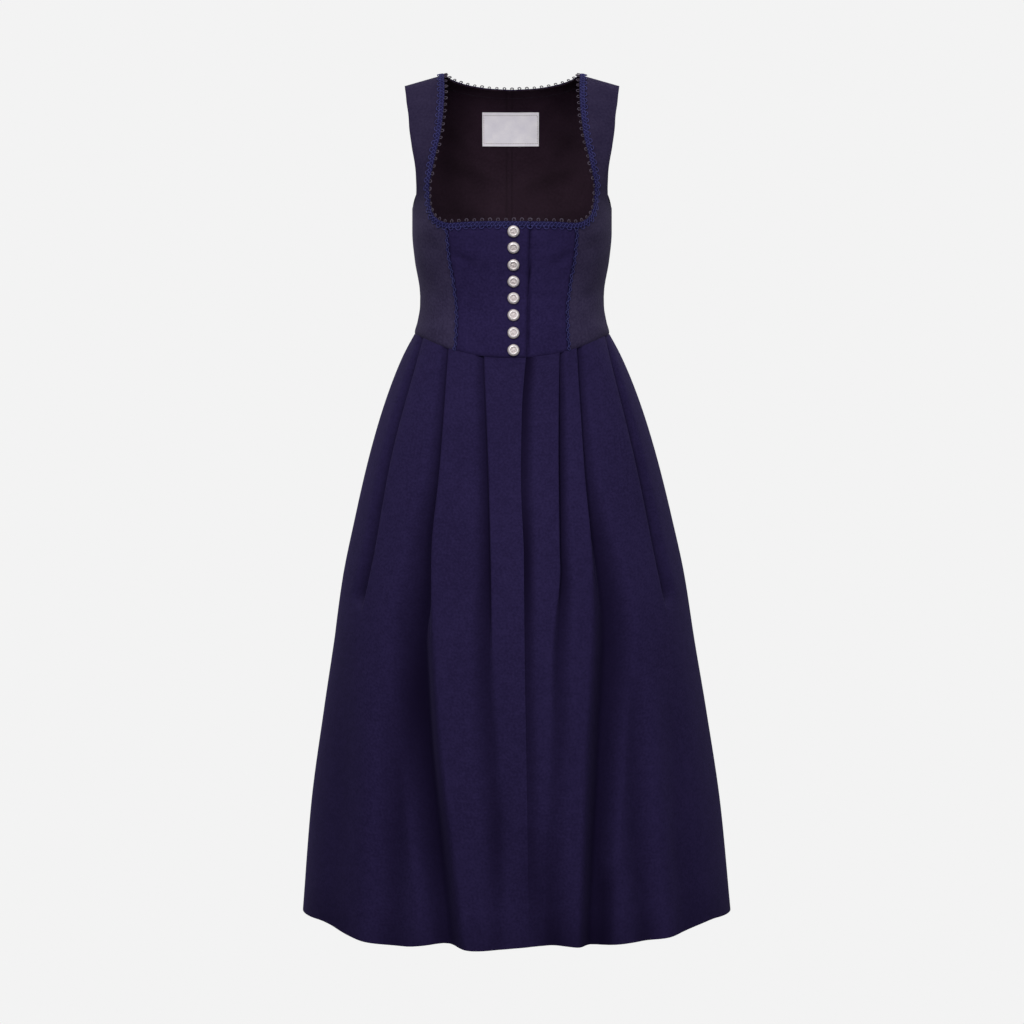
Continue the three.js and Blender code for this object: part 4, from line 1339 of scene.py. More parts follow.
@dataclass
class BackLining:
    """The lining of the back, which shows through the neck, its topstitching and its label."""

    bodice: Bodice
    trims: Trims
    depth: float = 1.9
    cloth: float = 0.7
    label_gap: float = 1.4
    label_centre_x: float = -2
    label_width: float = 81
    label_top_z: float = -41.5
    label_bottom_z: float = -88.5
    frame_rows: int = 2
    frame_columns: int = 1
    top_setback_rows: int = 6
    stitch_inset: float = 9
    foot_flare: float = 3.2
    foot_lift_share: float = 0.2
    flare_height: float = 14
    label_rows: int = 24
    label_columns: int = 36
    label_thickness: float = 0.8
    pucker_height: float = 0.25
    pucker_x: float = 4.1
    pucker_z: float = 5.3
    seam_width: float = 1.3
    seam_lines: tuple = (0, -7.7)
    creases: tuple = (
        Crease((-100, -110), (-20, -140), 9, -1.2),
        Crease((14, -150), (104, -120), 10, -1.3),
        Crease((-104, -182), (-10, -196), 10, -1.4),
        Crease((10, -206), (100, -190), 9, -1.1),
        Crease((-60, -100), (-90, -60), 8, -0.9),
        Crease((60, -104), (92, -66), 8, -0.9),
    )

    def build(self) -> list[Piece]:
        """Builds both lining halves, the topstitching along the back neck and the label.

        Returns:
            The pieces.
        """
        wardrobe = self.bodice.wardrobe
        grid = self.bodice.sewn_back()[: -self.top_setback_rows]
        grid[0] += (grid[1] - grid[0]) * self.foot_lift_share
        form = self.bodice.form
        pieces = []
        for side in Side:
            word = side.word
            places = side.placed(grid)
            points = form.points(places)
            normals = form.normals(places)
            risen = smoothstep(points[..., 2] - points[:1, :, 2], 0, self.flare_height)
            flare = self.foot_flare * (1 - risen)
            sunk = creased(self.creases, points[..., 0], points[..., 2])
            seam = sum(0.5 * bell(points[..., 0] - x, self.seam_width) for x in self.seam_lines)
            outer = points - normals * (self.depth + flare)[..., None]
            inner = outer - normals * (self.cloth + np.clip(-sunk - seam * 0.5 + 0.3, 0, 1.2))[..., None]
            # Painted shade along the centre back seam lines and in the creases.
            shade = np.clip(seam * 1.1 - sunk * 0.35, 0, 1)
            shell = ClothShell(f"lining_{word}_cloth", outer, inner, wardrobe.lining, wardrobe.lining, shade)
            back = (f"back_{word}_cloth",)
            pieces.append(shell.piece(Slot.LINING, (f"lining_back_{word}",), Held.STRETCHED, back))
        pieces.append(self.topstitch())
        pieces.extend(self.label())
        return pieces

    def topstitch(self) -> Piece:
        """The stitches along the back neck, seen on the lining.

        Returns:
            The piece.
        """
        form = self.bodice.form
        neck = form.points(self.bodice.neck_behind())[: -self.top_setback_rows, [0, 2]]
        run = unit(np.gradient(neck, axis=0))
        line = neck + np.stack([run[:, 1], -run[:, 0]], axis=-1) * self.stitch_inset
        half = np.array([form.place_at(x, z, False) for x, z in line])
        places = np.concatenate([half[::-1], (Side.RIGHT.placed(half) + np.array([2 * math.pi, 0]))[1:]])
        normals = form.normals(places)
        path = (form.points(places) - normals * (self.depth + self.cloth + 0.5)) * MM
        mesh = self.trims.stitches.run(
            "lining_topstitch", path, -normals, self.bodice.wardrobe.dark_thread, Pitch=0.0032, Length=0.0024
        )
        return piece_object("lining_topstitch", mesh)

    def label(self) -> list[Piece]:
        """The bare woven label and the stitches round it.

        Returns:
            The label and its stitches.
        """
        form = self.bodice.form
        wardrobe = self.bodice.wardrobe
        half = self.label_width / 2
        edges = []
        for x in (self.label_centre_x + half, self.label_centre_x - half):
            heights = np.linspace(self.label_bottom_z, self.label_top_z, self.label_rows)
            places = np.array([form.place_at(x, z, False) for z in heights])
            places[:, 0] %= 2 * math.pi
            edges.append(places)
        share = np.linspace(0, 1, self.label_columns)[None, :, None]
        grid = edges[0][:, None] * (1 - share) + edges[1][:, None] * share
        points = form.points(grid)
        normals = form.normals(grid)
        across, along = np.sin(points[..., 0] / self.pucker_x), np.sin(points[..., 2] / self.pucker_z)
        puckers = self.pucker_height * across * along
        out = self.depth + 1.0 + self.label_gap
        outer = points - normals * out
        inner = outer - normals * (self.label_thickness + puckers * 0.5)[..., None]
        shell = ClothShell("label_cloth", outer, inner, wardrobe.label, wardrobe.label)
        linings = ("lining_left_cloth", "lining_right_cloth")
        label = shell.piece(Slot.LABEL, ("label",), Held.STRETCHED, linings)
        i, j = self.frame_rows, self.frame_columns
        sides = (grid[i, j:-j], grid[i:-i, -1 - j], grid[-1 - i, j:-j][::-1], grid[i:-i, j][::-1])
        ring = np.concatenate(sides)
        ring_normals = form.normals(ring)
        path = (form.points(ring) - ring_normals * (out + 0.95)) * MM
        mesh = self.trims.stitches.run(
            "label_stitches", path, -ring_normals, wardrobe.label_thread,
            Pitch=0.0024, Length=0.0018, Thickness=0.00032,
        )
        return [label, piece_object("label_stitches", mesh)]


# Braid


@dataclass
class NeckBraid:
    """Crochet braid along the neck: a band, two crossing yarns, scallops below and picots past the edge."""

    bodice: Bodice
    trims: Trims
    stand_off: float = 0.7
    band: float = 0.5
    on_cloth: float = 7.4
    cords_on_cloth: float = 3.5
    inner: float = 0.4
    behind_drop: float = 1.8
    pitch: float = 10.6
    picot_radius: float = 2.0
    scallop_radius: float = 3.3
    scallop_depth: float = 0.9
    ripple_height: float = 0.12
    crown_height: float = 0.35
    cord_swing: float = 2.9
    cord_radius: float = 0.44
    left_start_x: float = 25
    right_start_x: float = -24
    front_end_x: float = 58
    front_rows: int = 260
    back_rows: int = 90
    columns: int = 9

    def edge(self, start_x: float) -> Array:
        """Places along one half of the neck, from the front opening over the strap to the centre back.

        Args:
            start_x: The x at which it starts on the front.

        Returns:
            The places.
        """
        form = self.bodice.form
        z = self.bodice.placket.neckline_z
        first = form.route(((start_x, z), (self.front_end_x, z)))
        front = np.concatenate([first, form.route(self.bodice.strap_neck)])
        back = form.route(self.bodice.back_neck, False)[::-1]
        return np.concatenate([form.along(front, self.front_rows), form.along(back, self.back_rows)[1:]])

    def drop(self, points: Array) -> Array:
        """How far below the neck's edge the braid lies at some points: only behind the shoulders."""
        return self.behind_drop * smoothstep(points[:, 1], -4, 8)

    def frames(self, start_x: float, side: Side) -> tuple[Array, Array, Array]:
        """The braid's line.

        Args:
            start_x: The x at which it starts on the front.
            side: The wearer's side that it runs along.

        Returns:
            Its points in millimetres, the directions out of the cloth and those towards the neck.
        """
        form = self.bodice.form
        places = side.placed(self.edge(start_x))
        points = form.points(places)
        normals = form.normals(places)
        for _ in range(10):
            middle = (normals[:-2] + normals[2:]) / 2
            normals[1:-1] = (normals[1:-1] + middle) / 2
            normals = unit(normals)
        if side is Side.RIGHT:
            lift = self.bodice.placket.lift_at(points) * (points[:, 1] < 0)
            points = points + normals * lift[:, None]
        along = unit(np.gradient(points, axis=0))
        return points, normals, unit(np.cross(normals, along) * side.value)

    def build(self) -> list[Piece]:
        """Builds both halves.

        Returns:
            The pieces.
        """
        wardrobe = self.bodice.wardrobe
        pieces = []
        for side, start_x in ((Side.LEFT, self.left_start_x), (Side.RIGHT, self.right_start_x)):
            word = side.word
            points, normals, inward = self.frames(start_x, side)
            steps = gathered_steps(points)
            count = max(1, round(steps[-1] / self.pitch))
            pitch = steps[-1] / count
            scallop = self.scallop_depth * np.abs(np.sin(math.pi * steps / pitch))
            across = np.linspace(0, 1, self.columns)
            edge = self.inner - self.drop(points)
            reach = edge + self.on_cloth - self.scallop_depth + scallop
            inner = edge[:, None] - reach[:, None] * across[None]
            ripple = self.ripple_height * np.cos(4 * math.pi * steps / pitch)
            crown = self.crown_height * np.sin(math.pi * across)[None] + ripple[:, None]
            base = points[:, None] + inward[:, None] * inner[..., None]
            low = base + normals[:, None] * self.stand_off
            high = base + normals[:, None] * (self.stand_off + self.band + crown)[..., None]
            ground = wardrobe.braid_ground
            shell = ClothShell(f"neck_braid_{word}_band", high, low, ground, ground)
            pieces.append(piece_object(shell.name, shell.mesh(), (f"neck_braid_{word}",)))
            pieces.append(self.yarns(side, points, normals, inward, pitch))
        return pieces

    def yarns(self, side: Side, points: Array, normals: Array, inward: Array, pitch: float) -> Piece:
        """The yarns of one half of the braid.

        Args:
            side: The wearer's side that it runs along.
            points: The neck's edge.
            normals: The directions out of the cloth.
            inward: The directions towards the neck.
            pitch: The length of one repeat, in millimetres.

        Returns:
            The piece.
        """
        wardrobe = self.bodice.wardrobe
        top = self.stand_off + self.band + 0.25
        line, up, to_neck = (table[:: side.value] for table in (points, normals, inward))
        lowered = self.drop(line)[:, None]
        meshes = []
        path = (line - to_neck * (self.cords_on_cloth + lowered) + up * top) * MM
        for phase in (0.0, math.pi):
            meshes.append(
                self.trims.cord.run(
                    "yarn", path, up, wardrobe.braid_yarn,
                    Pitch=pitch * MM, Swing=self.cord_swing * MM, Phase=phase,
                    Thickness=self.cord_radius * MM, Weave=0.0003,
                )
            )
        rim = line - to_neck * (self.on_cloth - self.scallop_depth) + up * (self.stand_off + 0.45)
        edge = line + to_neck * (0.5 - lowered) + up * (self.stand_off + self.band)
        for name, places, out, yarn, radius, sweep, reach, thickness in (
            ("scallops", rim[::-1], up[::-1], wardrobe.braid_yarn, self.scallop_radius, 4.1, 0.0, 0.00052),
            ("picots", edge, up, wardrobe.picot_yarn, self.picot_radius, 5.2, 0.0018, 0.00068),
        ):
            meshes.append(
                self.trims.loops.run(
                    name, places * MM, out, yarn,
                    Pitch=pitch * MM, Radius=radius * MM, Sweep=sweep, Reach=reach, Thickness=thickness,
                )
            )
        name = f"neck_braid_{side.word}_yarns"
        return piece_object(name, joined(name, meshes))


@dataclass
class SeamBraid:
    """The narrow wavy braid on each princess seam."""

    bodice: Bodice
    trims: Trims
    stand_off: float = 0.7
    half_width: float = 1.2
    wave: float = 1.5
    pitch: float = 12.4
    band: float = 0.4
    crown_height: float = 0.2
    top_x: float = 88
    top_z: float = -228.7
    rows: int = 200
    columns: int = 5

    def build(self) -> list[Piece]:
        """Builds the two braids.

        Returns:
            The pieces.
        """
        form = self.bodice.form
        wardrobe = self.bodice.wardrobe
        pieces = []
        places = self.bodice.princess_places()
        places[-1] = form.place_at(self.top_x, self.top_z)
        for side in Side:
            word = side.word
            edge = side.placed(form.along(places, self.rows))
            points = form.points(edge)
            normals = form.normals(edge)
            out = np.cross(normals, unit(np.gradient(points, axis=0)))
            steps = gathered_steps(points)
            middle = self.wave * np.sin(2 * math.pi * steps / self.pitch)
            across = np.linspace(-1, 1, self.columns)
            aside = middle[:, None] + self.half_width * across[None]
            base = points[:, None] + out[:, None] * aside[..., None]
            low = base + normals[:, None] * self.stand_off
            crown = self.stand_off + self.band + self.crown_height * (1 - across**2)
            high = base + normals[:, None] * crown[None, :, None]
            ground = wardrobe.braid_ground
            shell = ClothShell(f"seam_braid_{word}_band", high, low, ground, ground)
            pieces.append(piece_object(shell.name, shell.mesh(), (f"seam_braid_{word}",)))
            path = (points + normals * (self.stand_off + 0.75)) * MM
            meshes = []
            for phase, swing in ((0.0, 2.7), (math.pi * 1.15, 1.2)):
                meshes.append(
                    self.trims.cord.run(
                        "yarn", path, normals, wardrobe.braid_yarn,
                        Pitch=self.pitch * MM, Swing=swing * MM, Phase=phase,
                        Thickness=0.00045, Weave=0.00025,
                    )
                )
            name = f"seam_braid_{word}_yarns"
            pieces.append(piece_object(name, joined(name, meshes)))
        return pieces


# Buttons


@dataclass
class Buttons:
    """Eight silvered shank buttons, domed, with a raised ring round a small flower."""

    bodice: Bodice
    x: float = 2
    heights: tuple = (-232.4, -253.4, -276.2, -298.3, -321, -344.3, -368.4, -392)
    stand_off: float = 2.45
    sides: int = 60
    petals: int = 6
    profile: tuple = (
        (0, 0), (3.2, 0), (3.2, 0.8), (7.4, 1.15), (7.85, 1.45), (8.0, 1.8), (7.95, 2.1), (7.6, 2.5),
        (7.1, 2.95), (6.5, 3.45), (6.0, 3.85), (5.55, 4.12), (5.1, 4.2), (4.6, 4.12), (4.25, 3.85),
        (4.0, 3.5), (3.6, 3.3), (3.0, 3.28), (2.4, 3.3), (1.8, 3.36), (1.2, 3.46), (0.6, 3.6), (0, 3.66),
    )

    def turned(self) -> tuple[Array, Array]:
        """The button's points about its own axis.

        Returns:
            The points by ring and side, and how rubbed each is, from 0 to 1.
        """
        profile = np.array(self.profile, float)
        angle = np.arange(self.sides) / self.sides * 2 * math.pi
        radius = profile[:, 0][:, None] + 0 * angle
        height = profile[:, 1][:, None] + 0 * angle
        front = (np.arange(len(profile)) > 4)[:, None]
        petal = 0.5 + 0.5 * np.cos(self.petals * angle)[None]
        in_flower = front * bell(radius - 2.0, 1.0)
        height = height + in_flower * (petal - 0.35) * 0.42
        height = height + front * bell(radius - 5.1, 0.5) * 0.09 * np.cos(30 * angle)[None]
        worn = 0.88 * bell(radius - 5.3, 0.95) + 0.4 * bell(radius, 0.9) + 0.35 * bell(radius - 6.9, 0.7)
        rubbed = 0.12 + worn * front + in_flower * petal * 0.45
        points = np.stack([radius * np.cos(angle), radius * np.sin(angle), height], axis=-1)
        return points, np.clip(rubbed, 0, 1)

    def build(self) -> list[Piece]:
        """Builds the buttons.

        Returns:
            The pieces.
        """
        form = self.bodice.form
        points, rubbed = self.turned()
        rings = len(points)
        index = np.arange(rings * self.sides).reshape(rings, self.sides)
        beside = np.roll(index, -1, axis=1)
        quads = np.stack([index[:-1], beside[:-1], beside[1:], index[1:]], axis=-1).reshape(-1, 4)
        pieces = []
        for i, z in enumerate(self.heights):
            place = form.place_at(self.x, z)
            centre = form.points(place)
            out = form.normals(place)
            across = unit(np.cross([0, 0, 1], out))
            upright = np.cross(out, across)
            turn = 0.35 * i + 0.2
            c, s = math.cos(turn), math.sin(turn)
            axes = np.stack([c * across + s * upright, c * upright - s * across, out])
            placed = (points.reshape(-1, 3) @ axes + centre + out * self.stand_off) * MM
            mesh = bpy.data.meshes.new(f"button_{i + 1}_metal")
            mesh.from_pydata(placed.tolist(), [], quads.tolist())
            colour = mesh.color_attributes.new("rubbed", "FLOAT_COLOR", "POINT")
            shades = np.repeat(rubbed.reshape(-1)[:, None], 4, axis=1)
            colour.data.foreach_set("color", shades.reshape(-1))
            self.weld(mesh)
            mesh.materials.append(self.bodice.wardrobe.silver)
            pieces.append(piece_object(f"button_{i + 1}_metal", mesh, (f"button_{i + 1}",)))
        return pieces

    def weld(self, mesh: Mesh) -> None:
        """Closes the poles of a turned mesh, turns its faces outwards and smooths it.

        Args:
            mesh: The mesh to change.
        """
        work = bmesh.new()
        work.from_mesh(mesh)
        bmesh.ops.remove_doubles(work, verts=work.verts, dist=1e-6)
        bmesh.ops.recalc_face_normals(work, faces=work.faces)
        work.to_mesh(mesh)
        work.free()
        mesh.shade_smooth()
        mesh.set_sharp_from_angle(angle=math.radians(50))


# Skirt


@dataclass(frozen=True)
class Pleat:
    """A knife pleat whose folded edge faces the side seam. It hides lap millimetres of cloth at the waist,
    falls open at the drop opens and is gone at the drop ends. The rest is told at seven drops: how far its
    edge lies from the centre, its depth, how far its valley lies beyond its edge, how far the cloth then
    takes to rise, and how much shade is painted into the valley's colour."""

    lap: float
    opens: float
    edges: tuple
    depths: tuple
    reaches: tuple
    rises: tuple
    shades: tuple
    ends: float = 2
    drops: tuple = (0, 0.2, 0.36, 0.5, 0.68, 0.84, 1)

    def at(self, values: tuple, drop: float) -> float:
        """One of its values at a drop."""
        return told(self.drops, values, drop)

    def left_at(self, drop: float) -> float:
        """The share of it that is left at a drop."""
        return 1 - float(smoothstep(drop, self.ends - 0.02, self.ends + 0.012))

    def lap_at(self, drop: float) -> float:
        """The cloth that it still hides at a drop, less than 0 once it has opened."""
        return self.lap * (1 - drop / self.opens)


@dataclass(frozen=True)
class Fold:
    """A soft trough or ridge down the skirt. Depths are in millimetres, less than 0 for a ridge, and a trough
    paints its shade into the cloth's colour for each millimetre, while a ridge takes as much painted shade
    away."""

    drops: tuple
    across: tuple
    depths: tuple
    width: float
    shade: float = 0.06

    def at(self, x: Array, drop: float) -> Array:
        """How deep it sinks the cloth at some distances from the centre."""
        centre = told(self.drops, self.across, drop)
        return told(self.drops, self.depths, drop) * bell(x - centre, self.width)


class HalfSection:
    """Half a section of the skirt, on the front or the back, from the centre line to the side seam."""

    def __init__(self, half_width: float, depth: float, squareness: float, front: bool) -> None:
        """Works out the section's points.

        Args:
            half_width: Half its width.
            depth: Its reach to the front or back.
            squareness: 2 for an ellipse, and more for a squarer shape.
            front: Whether it is on the front.
        """
        turn = np.linspace(0, math.pi / 2, 721)
        power = 2 / squareness
        self.x = half_width * np.sin(turn) ** power
        self.y = depth * np.maximum(0, np.cos(turn)) ** power * (-1 if front else 1)
        self.distance = gathered_steps(np.stack([self.x, self.y], axis=-1))
        self.angle = turn if front else math.pi - turn
        along = np.stack([np.gradient(self.x, self.distance), np.gradient(self.y, self.distance)], axis=-1)
        outwards = -1 if front else 1
        self.normal = unit(np.stack([-along[:, 1] * outwards, along[:, 0] * outwards], axis=-1))

    def distance_at(self, x: float) -> float:
        """The distance from the centre line at which the section shows at x."""
        return math.copysign(float(np.interp(abs(x), self.x, self.distance)), x)

    def place(self, distance: Array) -> tuple[Array, Array, Array]:
        """Points of the section.

        Args:
            distance: Distances from the centre line, less than 0 across it.

        Returns:
            The points, the directions out of the section and the angles round the body.
        """
        side = np.where(distance < 0, -1, 1)
        reach = np.abs(distance)
        tables = (self.x, self.y, *self.normal.T, self.angle)
        x, y, normal_x, normal_y, angle = (np.interp(reach, self.distance, table) for table in tables)
        return np.stack([side * x, y], -1), np.stack([side * normal_x, normal_y], -1), angle


@dataclass
class Skirt:
    """The long pleated skirt in three widths of cloth: two fronts that meet at the opening, and the back."""

    bodice: Bodice
    cloth: float = 0.9
    seam_gap: float = -0.3
    waist_gap: float = -0.4
    hem_turn: float = 40
    hem_turn_share: float = 0.05
    hem_layer: float = 0.7
    rows: int = 114
    rise_steps: int = 22
    turn_steps: int = 7
    layer_steps: int = 4
    lead_in: float = 2.5
    fold_radius: float = 1.5
    side_hem_z: float = -1165
    hem_front_dip: float = 19
    hem_dip_cosines: tuple = (0.42, 0.85)
    drops: tuple = (0, 0.035, 0.085, 0.15, 0.23, 0.32, 0.42, 0.53, 0.66, 0.82, 1)
    half_widths: tuple = (136.5, 151.5, 168.5, 186.5, 204.5, 221.5, 238.5, 251.5, 268, 286, 298.5)
    fronts: tuple = (98, 105, 115, 128, 143, 158, 174, 188, 203, 218, 230)
    backs: tuple = (79, 88, 100, 115, 132, 149, 165, 180, 195, 210, 220)
    squarenesses: tuple = (2.3, 2.28, 2.25, 2.22, 2.2, 2.18, 2.15, 2.13, 2.12, 2.1, 2.1)
    leans: tuple = (0, 0, 0.3, 0.7, 1.2, 1.8, 2.3, 3, 4, 5.2, 6.5)
    right_pleats: tuple = (
        Pleat(
            22, 0.56, (38, 32.5, 30, 26.5, 17, 12, 12),
            (4.4, 6, 7, 5.5, 3.5, 2, 1.5), (10, 10, 12, 13, 14, 14, 14),
            (16, 20, 26, 28, 28, 24, 22), (0.5, 0.75, 0.9, 0.65, 0.5, 0.35, 0.2),
        ),
        Pleat(
            30, 0.5, (87, 99, 111, 104, 95, 79, 65),
            (4.4, 10, 18, 27, 30, 28, 22), (14, 18, 24, 30, 30, 32, 30),
            (15, 24, 50, 56, 42, 32, 30), (0.55, 0.7, 0.8, 0.8, 0.85, 0.85, 0.55),
        ),
        Pleat(
            22, 0.57, (123, 166, 189, 208, 216, 228, 240),
            (4.4, 9, 9, 7, 0, 0, 0), (14, 16, 18, 20, 20, 20, 20),
            (16, 24, 30, 30, 30, 30, 30), (0.45, 0.6, 0.65, 0.6, 0, 0, 0), 0.455,
        ),
    )
    left_pleats: tuple = (
        Pleat(
            26, 0.48, (65, 62, 62, 49, 44, 36, 34),
            (4.4, 8, 8, 6, 3.5, 2, 1.5), (10, 10, 12, 12, 14, 14, 14),
            (14, 16, 18, 20, 24, 24, 22), (0.6, 0.95, 0.9, 0.6, 0.4, 0.2, 0.1),
        ),
        Pleat(
            14, 0.46, (89, 97, 103, 100, 90, 84, 78),
            (4.4, 9, 17, 27, 30, 28, 24), (14, 18, 26, 34, 34, 29, 26),
            (15, 20, 34, 42, 28, 26, 24), (0.75, 0.65, 0.8, 0.8, 0.8, 0.85, 0.7),
        ),
        Pleat(
            22, 0.57, (129, 166, 190, 208, 216, 228, 240),
            (4.4, 9, 9, 7, 0, 0, 0), (14, 16, 18, 20, 20, 20, 20),
            (16, 22, 28, 30, 30, 30, 30), (0.5, 0.6, 0.55, 0.5, 0, 0, 0), 0.455,
        ),
    )
    back_pleats: tuple = (
        Pleat(
            12, 0.44, (16, 21, 24, 26, 27, 28, 28),
            (4.4, 8, 12, 14, 14, 14, 13), (10, 14, 18, 22, 25, 27, 27),
            (15, 20, 30, 34, 34, 32, 30), (0.5, 0.6, 0.7, 0.7, 0.6, 0.5, 0.4),
        ),
        Pleat(
            24, 0.48, (54, 74, 84, 88, 90, 93, 96),
            (4.4, 9, 15, 20, 22, 21, 19), (12, 16, 22, 28, 30, 30, 28),
            (15, 22, 36, 42, 38, 34, 30), (0.5, 0.7, 0.8, 0.85, 0.85, 0.8, 0.6),
        ),
        Pleat(
            24, 0.48, (92, 128, 144, 150, 156, 162, 168),
            (4.4, 10, 17, 23, 25, 24, 21), (12, 16, 24, 30, 32, 30, 28),
            (15, 24, 38, 46, 40, 34, 30), (0.5, 0.7, 0.85, 0.9, 0.9, 0.9, 0.7),
        ),
        Pleat(
            16, 0.5, (121, 168, 192, 208, 218, 228, 236),
            (4.4, 10, 12, 14, 14, 14, 12), (12, 16, 20, 22, 24, 26, 26),
            (15, 20, 30, 32, 32, 30, 28), (0.45, 0.6, 0.6, 0.6, 0.55, 0.5, 0.4),
        ),
    )
    opening_drops: tuple = (0, 0.1, 0.22, 0.35, 0.51, 0.72, 1)
    opening_x: tuple = (19, 13, 11, 14, 14, 15, 16)
    underlap: tuple = (26, 23, 20, 18, 10, 3, 3)
    opening_step: tuple = (2.2, 2.2, 2.2, 2.2, 2.0, 1.2, 0.5)
    # opening_shades: painted shadow beside the opening's edge, under the right front
    opening_shades: tuple = (0.95, 0.85, 0.75, 1, 0.7, 0.5, 0)
    opening_rise: float = 17
    # hem_shade: painted shade, darker towards the hem
    hem_shade: float = 0.25
    underlap_clear: float = 3
    front_folds: tuple = (
        Fold((0.48, 0.62, 0.8, 1), (-146, -154, -161, -166), (0, 7, 8, 5), 20),
        Fold((0.48, 0.62, 0.8, 1), (148, 160, 164, 176), (0, 5, 6.5, 7), 17),
        Fold((0.5, 0.7, 0.85, 1), (-236, -238, -244, -254), (0, 4, 4, 4), 20, 0.04),
        Fold((0.5, 0.7, 0.85, 1), (210, 214, 222, 232), (0, 4, 5, 4), 22, 0.05),
        Fold((0.78, 0.9, 1), (28, 36, 50), (0, 6, 7), 28, 0.07),
        Fold((0.86, 0.92, 1), (127, 125, 122), (0, 6, 6), 9, 0.1),
        Fold((0.7, 0.82, 0.95), (-14, -22, -26), (0, 4, 0), 14),
        Fold((0.55, 0.75, 1), (-196, -198, -202), (0, -3, -4), 16),
        Fold((0.55, 0.75, 1), (190, 194, 200), (0, -3, -4), 16),
    )
    hem_x: tuple = (-300, -220, -149, -105, -57, 0, 43, 88, 174, 234, 300)
    hem_offsets: tuple = (0, -2, -1.5, 3, -3.5, 1, 3.5, 0, 3.8, 3, 0)

    def section(self, drop: float, front: bool) -> HalfSection:
        """Half a section at a drop."""
        tables = (self.half_widths, self.fronts if front else self.backs, self.squarenesses)
        return HalfSection(*(told(self.drops, table, drop) for table in tables), front)

    def fold_shape(self, pleat: Pleat, drop: float) -> tuple[Array, Array]:
        """The cloth through a pleat, from three flat layers to an open wave.

        Args:
            pleat: The pleat.
            drop: The drop.

        Returns:
            Distances beyond the pleat's edge, and shares of its depth.
        """
        lap = pleat.lap_at(drop)
        hidden = max(lap, 0.0)
        turn = min(self.fold_radius, 0.4 * hidden + 0.2)
        bend = np.linspace(0, math.pi, self.turn_steps)
        layer = np.linspace(0, 1, self.layer_steps + 1)[:-1]
        inner_turn = -hidden + turn - turn * np.sin(bend)
        along = np.concatenate(
            [
                -hidden - self.lead_in + (hidden + self.lead_in - turn) * layer,
                -turn + turn * np.sin(bend),
                (-turn + (-hidden + 2 * turn) * layer)[1:],
                inner_turn,
                -hidden + turn + (hidden - turn + 0.5) * np.append(layer[1:], 1),
            ]
        )
        down = np.concatenate(
            [
                0 * layer,
                0.25 - 0.25 * np.cos(bend),
                0.5 + 0 * layer[1:],
                0.75 - 0.25 * np.cos(bend),
                1 + 0 * layer,
            ]
        )
        share = np.linspace(0, 1, len(along))
        open_along = pleat.at(pleat.reaches, drop) * share
        open_down = (1 - np.cos(math.pi * share)) / 2
        folded = float(smoothstep(lap, -1.0, 9.0))
        return folded * along + (1 - folded) * open_along, folded * down + (1 - folded) * open_down

    def round(
        self, section: HalfSection, drop: float, start: Arrays, spread: float, pleats: tuple
    ) -> Arrays:
        """The way the cloth takes through the pleats of half a section, as far as the side seam.

        Args:
            section: The half section.
            drop: The drop.
            start: The first distances, depths and shades.
            spread: The distance over which it rises from the start.
            pleats: The pleats, from the centre to the side.

        Returns:
            Distances from the centre line, depths below the section, and the shade painted on the cloth.
        """
        runs = [start]
        share = np.linspace(0, 1, self.rise_steps + 1)[1:]

        def rise(to: float, over: float, count: int) -> None:
            """Brings the cloth up from the last valley to the section, and fades the painted shade with the
            depth.

            Args:
                to: The distance at which it ends.
                over: The distance that it takes.
                count: How many of its steps are kept.
            """
            valley, depth, shade = (values[-1] for values in runs[-1])
            beyond = (to - valley) * share
            height = (1 + np.cos(math.pi * np.minimum(1, beyond / max(0.5, min(over, to - valley))))) / 2
            runs.append(tuple(values[:count] for values in (valley + beyond, depth * height, shade * height)))

        for pleat in pleats:
            along, down = self.fold_shape(pleat, drop)
            crest = section.distance_at(pleat.at(pleat.edges, drop))
            left = pleat.left_at(drop)
            rise(crest + along[0], spread, self.rise_steps - 1)
            depth = pleat.at(pleat.depths, drop) * left
            # Painted shade in the pleat's valley, as deep as the fold.
            runs.append((crest + along, depth * down, pleat.at(pleat.shades, drop) * left * down))
            spread = pleat.at(pleat.rises, drop)
        rise(section.distance[-1] - self.seam_gap, spread, self.rise_steps)
        return tuple(np.concatenate(values) for values in zip(*runs))

    def faces(self, section: HalfSection, drop: float, route: Arrays, side: Side, front: bool) -> Arrays:
        """The two faces of the cloth along a round.

        Args:
            section: The half section.
            drop: The drop.
            route: Distances, depths and shades.
            side: The wearer's side that the round lies on.
            front: Whether it is on the front.

        Returns:
            The points of the right and of the wrong side, and the shade painted on the cloth.
        """
        distance, depth, shade = route
        point, normal, angle = section.place(distance)
        x = point[:, 0] * side.value
        if front:
            for fold in self.front_folds:
                sunk = fold.at(x, drop)
                depth = depth + sunk
                # Painted shade in each fold's trough, and less of it on a ridge.
                shade = shade + sunk * fold.shade
        inwards = (depth + self.cloth / 2)[:, None]
        flat = point - normal * inwards
        waist = self.bodice.form.waist_height(angle) - self.waist_gap
        hem = self.side_hem_z - self.hem_front_dip * smoothstep(np.cos(angle), *self.hem_dip_cosines)
        if front:
            hem = hem + Course(self.hem_x, self.hem_offsets).at(x)
        z = waist + (hem - waist) * drop
        step = np.diff(flat, axis=0)
        runs = (np.concatenate([step[:1], step]), np.concatenate([step, step[-1:]]))
        before, after = (unit(np.stack([run[:, 1], -run[:, 0]], axis=-1)) for run in runs)
        mean = unit(before + after)
        mitre = mean / np.maximum(0.6, np.sum(mean * after, axis=1, keepdims=True))
        outwards = 1 if front else -1
        below = float((1 - drop) * (self.bodice.form.side_waist_z - self.side_hem_z))
        turned_up = 1 - float(smoothstep(below, self.hem_turn, self.hem_turn + 3))
        wrong = self.cloth / 2 + self.hem_layer * turned_up
        moved = (side.placed(flat + mitre * offset * outwards) for offset in (self.cloth / 2, -wrong))
        return *(np.column_stack([face, z]) for face in moved), shade

